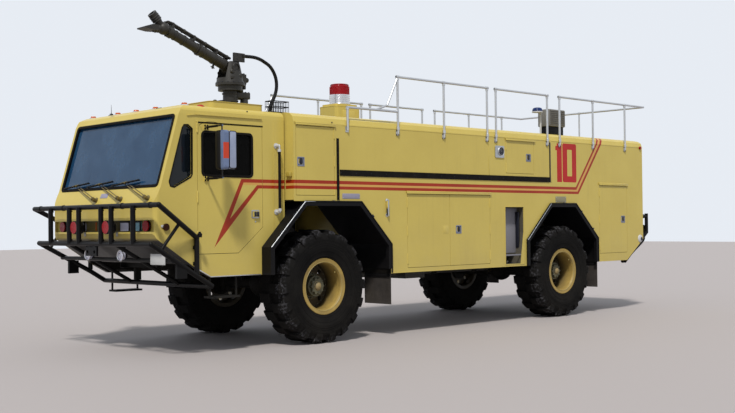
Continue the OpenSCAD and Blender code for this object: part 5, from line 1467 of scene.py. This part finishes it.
def add_monitor_details():
    """Bolts, valve wheel, slewing motor, pipe unions, collars and clamps of the monitor's base, turret and barrel."""
    base, metal = new_shapes(2)
    for i in range(12):
        stamp(metal, bolt(9, 8), on_top(530, 0, 3032) @ turned_by(30 * i + 15, "Z") @ shift(130 + 40 * (i % 2), 0, 0))
    # Slewing gearbox beside the riser, with its upright motor and shaft
    stamp(base, block(230, 170, 96, 16, 3), on_top(358, 0, 3286))
    stamp(base, turned([(0, 262), (46, 256), (54, 240), (54, 24), (66, 16), (66, 0), (0, 0)], 32),
          on_top(330, 50, 3032))
    stamp(base, turned([(0, 250), (28, 246), (32, 230), (32, 0), (0, 0)], 28), on_top(286, -50, 3040))
    stamp(base, block(60, 210, 30, 8, 3), on_top(410, 0, 3378))
    stamp(metal, bolt(8, 6), *[on_top(358 + u, v, 3382) for u in (-96, -40, 96) for v in (-66, 66)])
    stamp(base, turned([(100, 0), (128, 0), (128, 16), (112, 24), (100, 40)], 48), on_top(530, 0, 3032))
    for z in (3120, 3240, 3340):
        stamp(base, turned([(99, 0), (112, 3), (112, 17), (99, 20)], 48), on_top(530, 0, z))
    stamp(base, turned([(0, 60), (44, 56), (52, 44), (52, 8), (66, 6), (66, 0), (0, 0)], 32), on_front(715, 0, 3155))
    stamp(metal, turned([(92, 0), (100, 6), (92, 12), (84, 6)], 40), on_front(786, 0, 3155))
    for i in range(4):
        place = on_front(790, 0, 3155) @ turned_by(90 * i, "Z")
        stamp(metal, bar(place @ Vector((0, 0, 0)), place @ Vector(mm(90, 0, 2)), 6, 10))
    stamp(metal, bar(at(770, 0, 3155), at(798, 0, 3155), 14, 16))
    stamp(base, turned([(0, 150), (40, 146), (52, 130), (52, 20), (62, 14), (62, 0), (0, 0)], 32),
          on_rear(240, 0, 3150))
    for i in range(6):
        stamp(base, round_rim(112, 112, 54, 5, 5, 1), on_rear(232 - 18 * i, 0, 3150))
    for side in both:
        stamp(base, block(150, 90, 6, 4), on_side(657, 3155, side, 105))
        stamp(metal, bolt(7, 5), *corners(on_side(657, 3155, side, 111), 58, 30))
        stamp(base, block(20, 190, 14, 4), on_top(430, side * 120, 3031))
    stamp(base, tube([at(340, -60, 3110), at(300, -160, 3090), at(180, -190, 3060), at(60, -190, 3010)], 12, 10))
    make_piece("monitor_base_parts", base, monitor_paint)
    make_piece("monitor_base_bolts", metal, dark_steel)
    turret, bolts = new_shapes(2)
    stamp(bolts, bolt(8, 7), *round_places(on_top(530, 0, 3493), 16, 193))
    stamp(turret, block(36, 60, 92, 8, 3), on_top(296, 0, 3428))
    for side in both:
        stamp(turret, block(150, 46, 20, 8, 3), on_side(560, 3560, side, 150))
        stamp(turret, turned([(0, 26), (22, 24), (30, 14), (30, 0), (0, 0)], 24), on_side(600, 3640, side, 138),
              on_side(470, 3590, side, 146))
    for side in both:
        hub = on_side(530, 3700, side, 142)
        stamp(turret, turned([(41, -8), (66, -6), (66, 6), (58, 12), (41, 12)], 36), hub)
        stamp(bolts, bolt(5, 4), *round_places(hub, 6, 54, 11))
    stamp(turret, turned([(0, 70), (30, 66), (36, 50), (36, 6), (46, 0), (0, 0)], 32), on_rear(295, 0, 3560))
    stamp(turret, block(90, 60, 16, 5), on_top(342, 0, 3629))
    stamp(bolts, bolt(6, 5), *corners(on_top(342, 0, 3645), 34, 20))
    hose_clamp = on_side(455, 3845, 1, 134)
    stamp(turret, sleeve(25, 34, 16, 16, 28), on_front(396, 120, 3868))
    stamp(bolts, bolt(6, 5), *corners(hose_clamp @ shift(0, 0, 1), 50, 30))
    make_piece("turret_parts", turret, monitor_paint, "monitor_turret")
    make_piece("turret_bolts", bolts, dark_steel, "monitor_turret")
    barrel, bright = new_shapes(2)
    tilt = Matrix.Translation(at(530, 0, 3700)) @ turned_by(-21.5, "Y")
    forward = tilt @ turned_by(90, "Y")
    for out, radius in ((120, 73), (300, 73), (480, 73), (600, 64), (820, 64), (960, 64)):
        stamp(barrel, sleeve(radius - 1, radius + 7, 10, 8, 40), forward @ shift(0, 0, out))
    for out, radius in ((569, 77), (1075, 72)):
        stamp(bright, bolt(6, 7), *round_places(forward @ shift(0, 0, out), 8, radius, 0, 22))
    for y in (-26, 26):
        for x in (120, 300, 500, 690, 860, 1045):
            stamp(bright, sleeve(17, 22, 12, 10, 16), tilt @ shift(x, y, 115) @ turned_by(90, "Y"))
    nozzle = tilt @ shift(1145, 0, 0) @ turned_by(90 - 24, "Y")
    for out, radius in ((60, 48), (110, 48), (140, 62), (170, 62), (200, 62)):
        stamp(bright, sleeve(radius - 1, radius + 5, 5, 3, 36), nozzle @ shift(0, 0, out))
    bill = tilt @ shift(1145, 0, 0) @ turned_by(27, "Y")
    for x in (90, 126):
        stamp(bright, sleeve(49, 56, 6, 4, 36), bill @ shift(x, 0, 0) @ turned_by(90, "Y"))
    for y in (-90, 0, 90):
        stamp(barrel, block(120, 8, 8, 3), bill @ shift(250, y, 24) @ turned_by(14, "Y"))
    stamp(bright, turned([(0, 10), (12, 9), (14, 0), (0, 0)], 16), tilt @ shift(265, 0, -126) @ turned_by(180, "Y"))
    for side in both:
        stamp(barrel, tube([tilt @ Vector(mm(x, side * y, z)) for x, y, z in ((1085, 26, 115), (1130, 34, 108),
                                                                              (1160, 40, 82))], 12, 12))
    make_piece("barrel_parts", barrel, monitor_paint, "monitor_barrel")
    make_piece("barrel_fittings", bright, machine_grey, "monitor_barrel")
    gland = bmesh.new()
    stamp(gland, turned([(25, 52), (32, 50), (38, 40), (46, 38), (46, 26), (36, 22), (36, 0)], 36),
          on_top(-64, 100, 3000))
    stamp(gland, bolt(5, 4), *round_places(on_top(-64, 100, 3000), 6, 50))
    stamp(gland, turned([(36, 3), (60, 3), (60, 0), (36, 0)], 36), on_top(-64, 100, 3000))
    make_piece("hose_gland", gland, stainless)


# Cab's inside

def cushion(width, depth, height):
    """Stuffed block with a crowned face and a pulled centre seam, in millimetres, standing on its place."""
    part = bmesh.new()
    bmesh.ops.create_cube(part, size=2.0)
    bmesh.ops.subdivide_edges(part, edges=part.edges[:], cuts=11, use_grid_fill=True)
    corner, crown, seam, seam_place = 0.16, 0.22, 0.10, 0.62
    for vert in part.verts:
        x, y, z = vert.co
        puff = 1 - crown * max(abs(x), abs(y)) ** 4
        pull = seam * math.exp(-((abs(x) - seam_place) / 0.05) ** 2)
        if abs(x) < seam_place:
            pull += seam * math.exp(-(y / 0.06) ** 2)
        rounded = 1 - corner * (x * x * y * y) ** 2
        high = z * puff * (1 - (pull if z > 0 else 0))
        vert.co = (x * rounded * width / 2000, y * rounded * depth / 2000, (high + 1) * height / 2000)
    bmesh.ops.smooth_vert(part, verts=part.verts, factor=0.5, use_axis_x=True, use_axis_y=True, use_axis_z=True)
    return part


def add_seats():
    """Sprung pedestals and shells, with stuffed cushions over them."""
    soft, frames, metal = new_shapes(3)
    for y in (-640, 0, 640):
        seat = on_top(1080, y, 1290)
        back = on_top(1080, y, 0) @ turned_by(-8, "Y")
        stamp(frames, block(440, 290, 40, 6), seat @ shift(220, 0, 0))
        for i in range(6):
            stamp(frames, block(400 - 6 * i, 262 - 6 * i, 34, 12, 3), seat @ shift(220, 0, 40 + 36 * i))
        stamp(frames, block(460, 400, 40, 10, 3), seat @ shift(225, 0, 258))
        stamp(metal, block(500, 26, 22, 3), *[seat @ shift(225, u, 236) for u in (-120, 120)])
        stamp(soft, cushion(520, 472, 130), seat @ shift(226, 0, 298))
        stamp(frames, block(16, 430, 640, 8, 3), back @ shift(128, 0, 1700))
        face = back @ shift(136, 0, 1960) @ turned_by(90, "Y") @ turned_by(90, "Z")
        stamp(soft, cushion(452, 520, 118), face)
        stamp(soft, cushion(300, 120, 100), back @ shift(136, 0, 2296) @ turned_by(90, "Y") @ turned_by(90, "Z"))
        for u in (-70, 70):
            stamp(metal, bar(back @ Vector(mm(160, u, 2180)), back @ Vector(mm(160, u, 2290)), 6, 10))
        stamp(metal, block(30, 70, 30, 6), seat @ shift(60, 226, 270))
    cushions = make_piece("seat_cushions", soft, seat_vinyl)
    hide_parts("seats")
    make_piece("seat_frames", frames, dash_plastic)
    make_piece("seat_runners", metal, dark_steel)


def add_dashboard_details():
    """Instrument pod, blank dials, switch rows, grips of the wheel and its hub."""
    black, bright, white = new_shapes(3)
    stamp(black, block(110, 400, 78, 16, 3), on_top(2070, 520, 2018))
    face = on_rear(2016, 520, 2058)
    for u, r in ((-130, 30), (-52, 34), (30, 34), (112, 30)):
        dial = face @ shift(u, 0, 0)
        stamp(bright, turned([(r - 4, 0), (r + 3, 0), (r + 3, 5), (r - 2, 8), (r - 4, 4)], 32), dial)
        stamp(white, turned([(0, 2), (r - 4, 2), (r - 4, 0), (0, 0)], 28), dial)
        stamp(black, block(2.4, r - 8, 2, 0.5), dial @ turned_by(50, "Z") @ shift(0, 8, 2))
    for i in range(9):
        stamp(white, block(16, 24, 12, 3), on_top(2010, -100 - 60 * i, 2018))
    stamp(black, block(260, 180, 60, 10, 3), on_top(2120, -300, 2018))
    stamp(black, tube([at(2160, -240, 2070), at(2120, -300, 2200), at(2100, -300, 2240)], 8, 10))
    stamp(black, block(46, 70, 60, 14, 3), on_top(2096, -300, 2236))
    wheel = on_top(1890, 520, 2030) @ turned_by(-48, "Y")
    stamp(black, turned([(0, 34), (40, 30), (58, 12), (50, -12), (32, -20), (0, -20)], 40), wheel)
    stamp(bright, turned([(0, 38), (14, 37), (18, 33), (0, 33)], 24), wheel)
    stamp(black, block(60, 30, 16, 6, 3), *round_places(wheel, 3, 192, -9, 30))
    stamp(black, turned([(32, -290), (60, -290), (52, -120), (36, -60), (32, -60)], 36), wheel)
    for side in both:
        stamp(bright, bar(wheel @ Vector(mm(0, side * 40, -70)), wheel @ Vector(mm(20, side * 190, -40)), 5, 10))
    for y in (400, 480, 640):
        stamp(black, block(70, 90, 10, 4), on_top(2160, y, 1330) @ turned_by(-50, "Y"))
    stamp(black, round_plate(1000, 2150, 40, 6, 2), on_top(1200, 0, 1290))
    for y in (-560, 560):
        stamp(black, block(120, 520, 10, 4, 3), on_screen(y, 800, -110))
    stamp(white, block(180, 120, 14, 6, 3), on_top(1300, 0, 2914))
    make_piece("dash_parts", black, dash_plastic)
    make_piece("dash_bezels", bright, stainless)
    make_piece("dash_dials", white, inner_grey)


# Below the body

def add_underbody():
    """Spring leaves and clips, U-bolts, air tanks, brake chambers, shaft joints and the silencer."""
    iron, tanks, bright = new_shapes(3)
    for ax in (0, -5266):
        for side in both:
            for layer in range(1, 4):
                reach = 620 - 130 * layer
                points = []
                for i in range(9):
                    s = (i - 4) / 4 * reach / 620
                    points.append(at(ax + 620 * s, side * 390, 745 + 77 + 128 * s * s + 10 + layer * 14))
                for a, b in zip(points, points[1:]):
                    stamp(iron, bar(a, b, 5, 6))
            for x in (-70, 70):
                stamp(iron, tube([at(ax + x, side * 345, 770), at(ax + x, side * 345, 905),
                                  at(ax + x, side * 390, 925), at(ax + x, side * 435, 905),
                                  at(ax + x, side * 435, 770)], 11, 10, 3))
            stamp(iron, block(210, 118, 16, 4), on_top(ax, side * 390, 886))
            for x in (-620, 620):
                stamp(iron, turned([(0, 50), (30, 50), (34, 46), (34, -46), (30, -50), (0, -50)], 28),
                      on_side(ax + x, 990, side, 390))
                stamp(iron, bolt(16, 12), on_side(ax + x, 990, side, 440))
            stamp(iron, turned([(0, 70), (60, 66), (76, 50), (76, 10), (60, 0), (0, 0)], 32),
                  on_side(ax - 170, 800, side, 620))
        cover = on_rear(ax - 402, 0, 790) if ax == 0 else on_front(ax + 402, 0, 790)
        stamp(iron, bolt(10, 8), *round_places(cover, 10, 66))
    for x in (-700, -2400, -3500, -4500):
        stamp(iron, turned([(45, -60), (62, -50), (70, -20), (70, 20), (62, 50), (45, 60)], 28), on_front(x, 0, 790))
    for side in both:
        for x in (-1650, -2150):
            cap = [(0, 220), (70, 212), (104, 186), (112, 150), (112, -150), (104, -186), (70, -212), (0, -220)]
            stamp(tanks, turned(cap, 36), on_front(x, side * 560, 1060))
            for u in (-110, 110):
                stamp(iron, sleeve(112, 117, 16, 14, 36), on_front(x + u, side * 560, 1060))
                stamp(iron, block(34, 30, 60, 4), on_top(x + u, side * 446, 1090))
    stamp(bright, turned([(0, 330), (90, 326), (120, 300), (120, -300), (90, -326), (0, -330)], 36),
          on_front(-4300, -560, 1060))
    make_piece("underbody_iron", iron, chassis_black)
    make_piece("air_tanks", tanks, chassis_black)
    make_piece("silencer", bright, machine_grey)


for add_fittings in (add_locker_fittings, add_gutters, add_hinges, add_cab_seals, add_cab_trim, add_door_fittings,
                     add_mirrors, add_grab_rails, add_nose_lamps, add_wiper_details, add_plates, add_guard_details,
                     add_wheel_details, add_flares, add_side_details, add_pump_bay, add_tail, add_rails, add_hatches,
                     add_beacon_details, add_roof_fittings, add_monitor_details, add_seats, add_dashboard_details,
                     add_underbody):
    add_fittings()
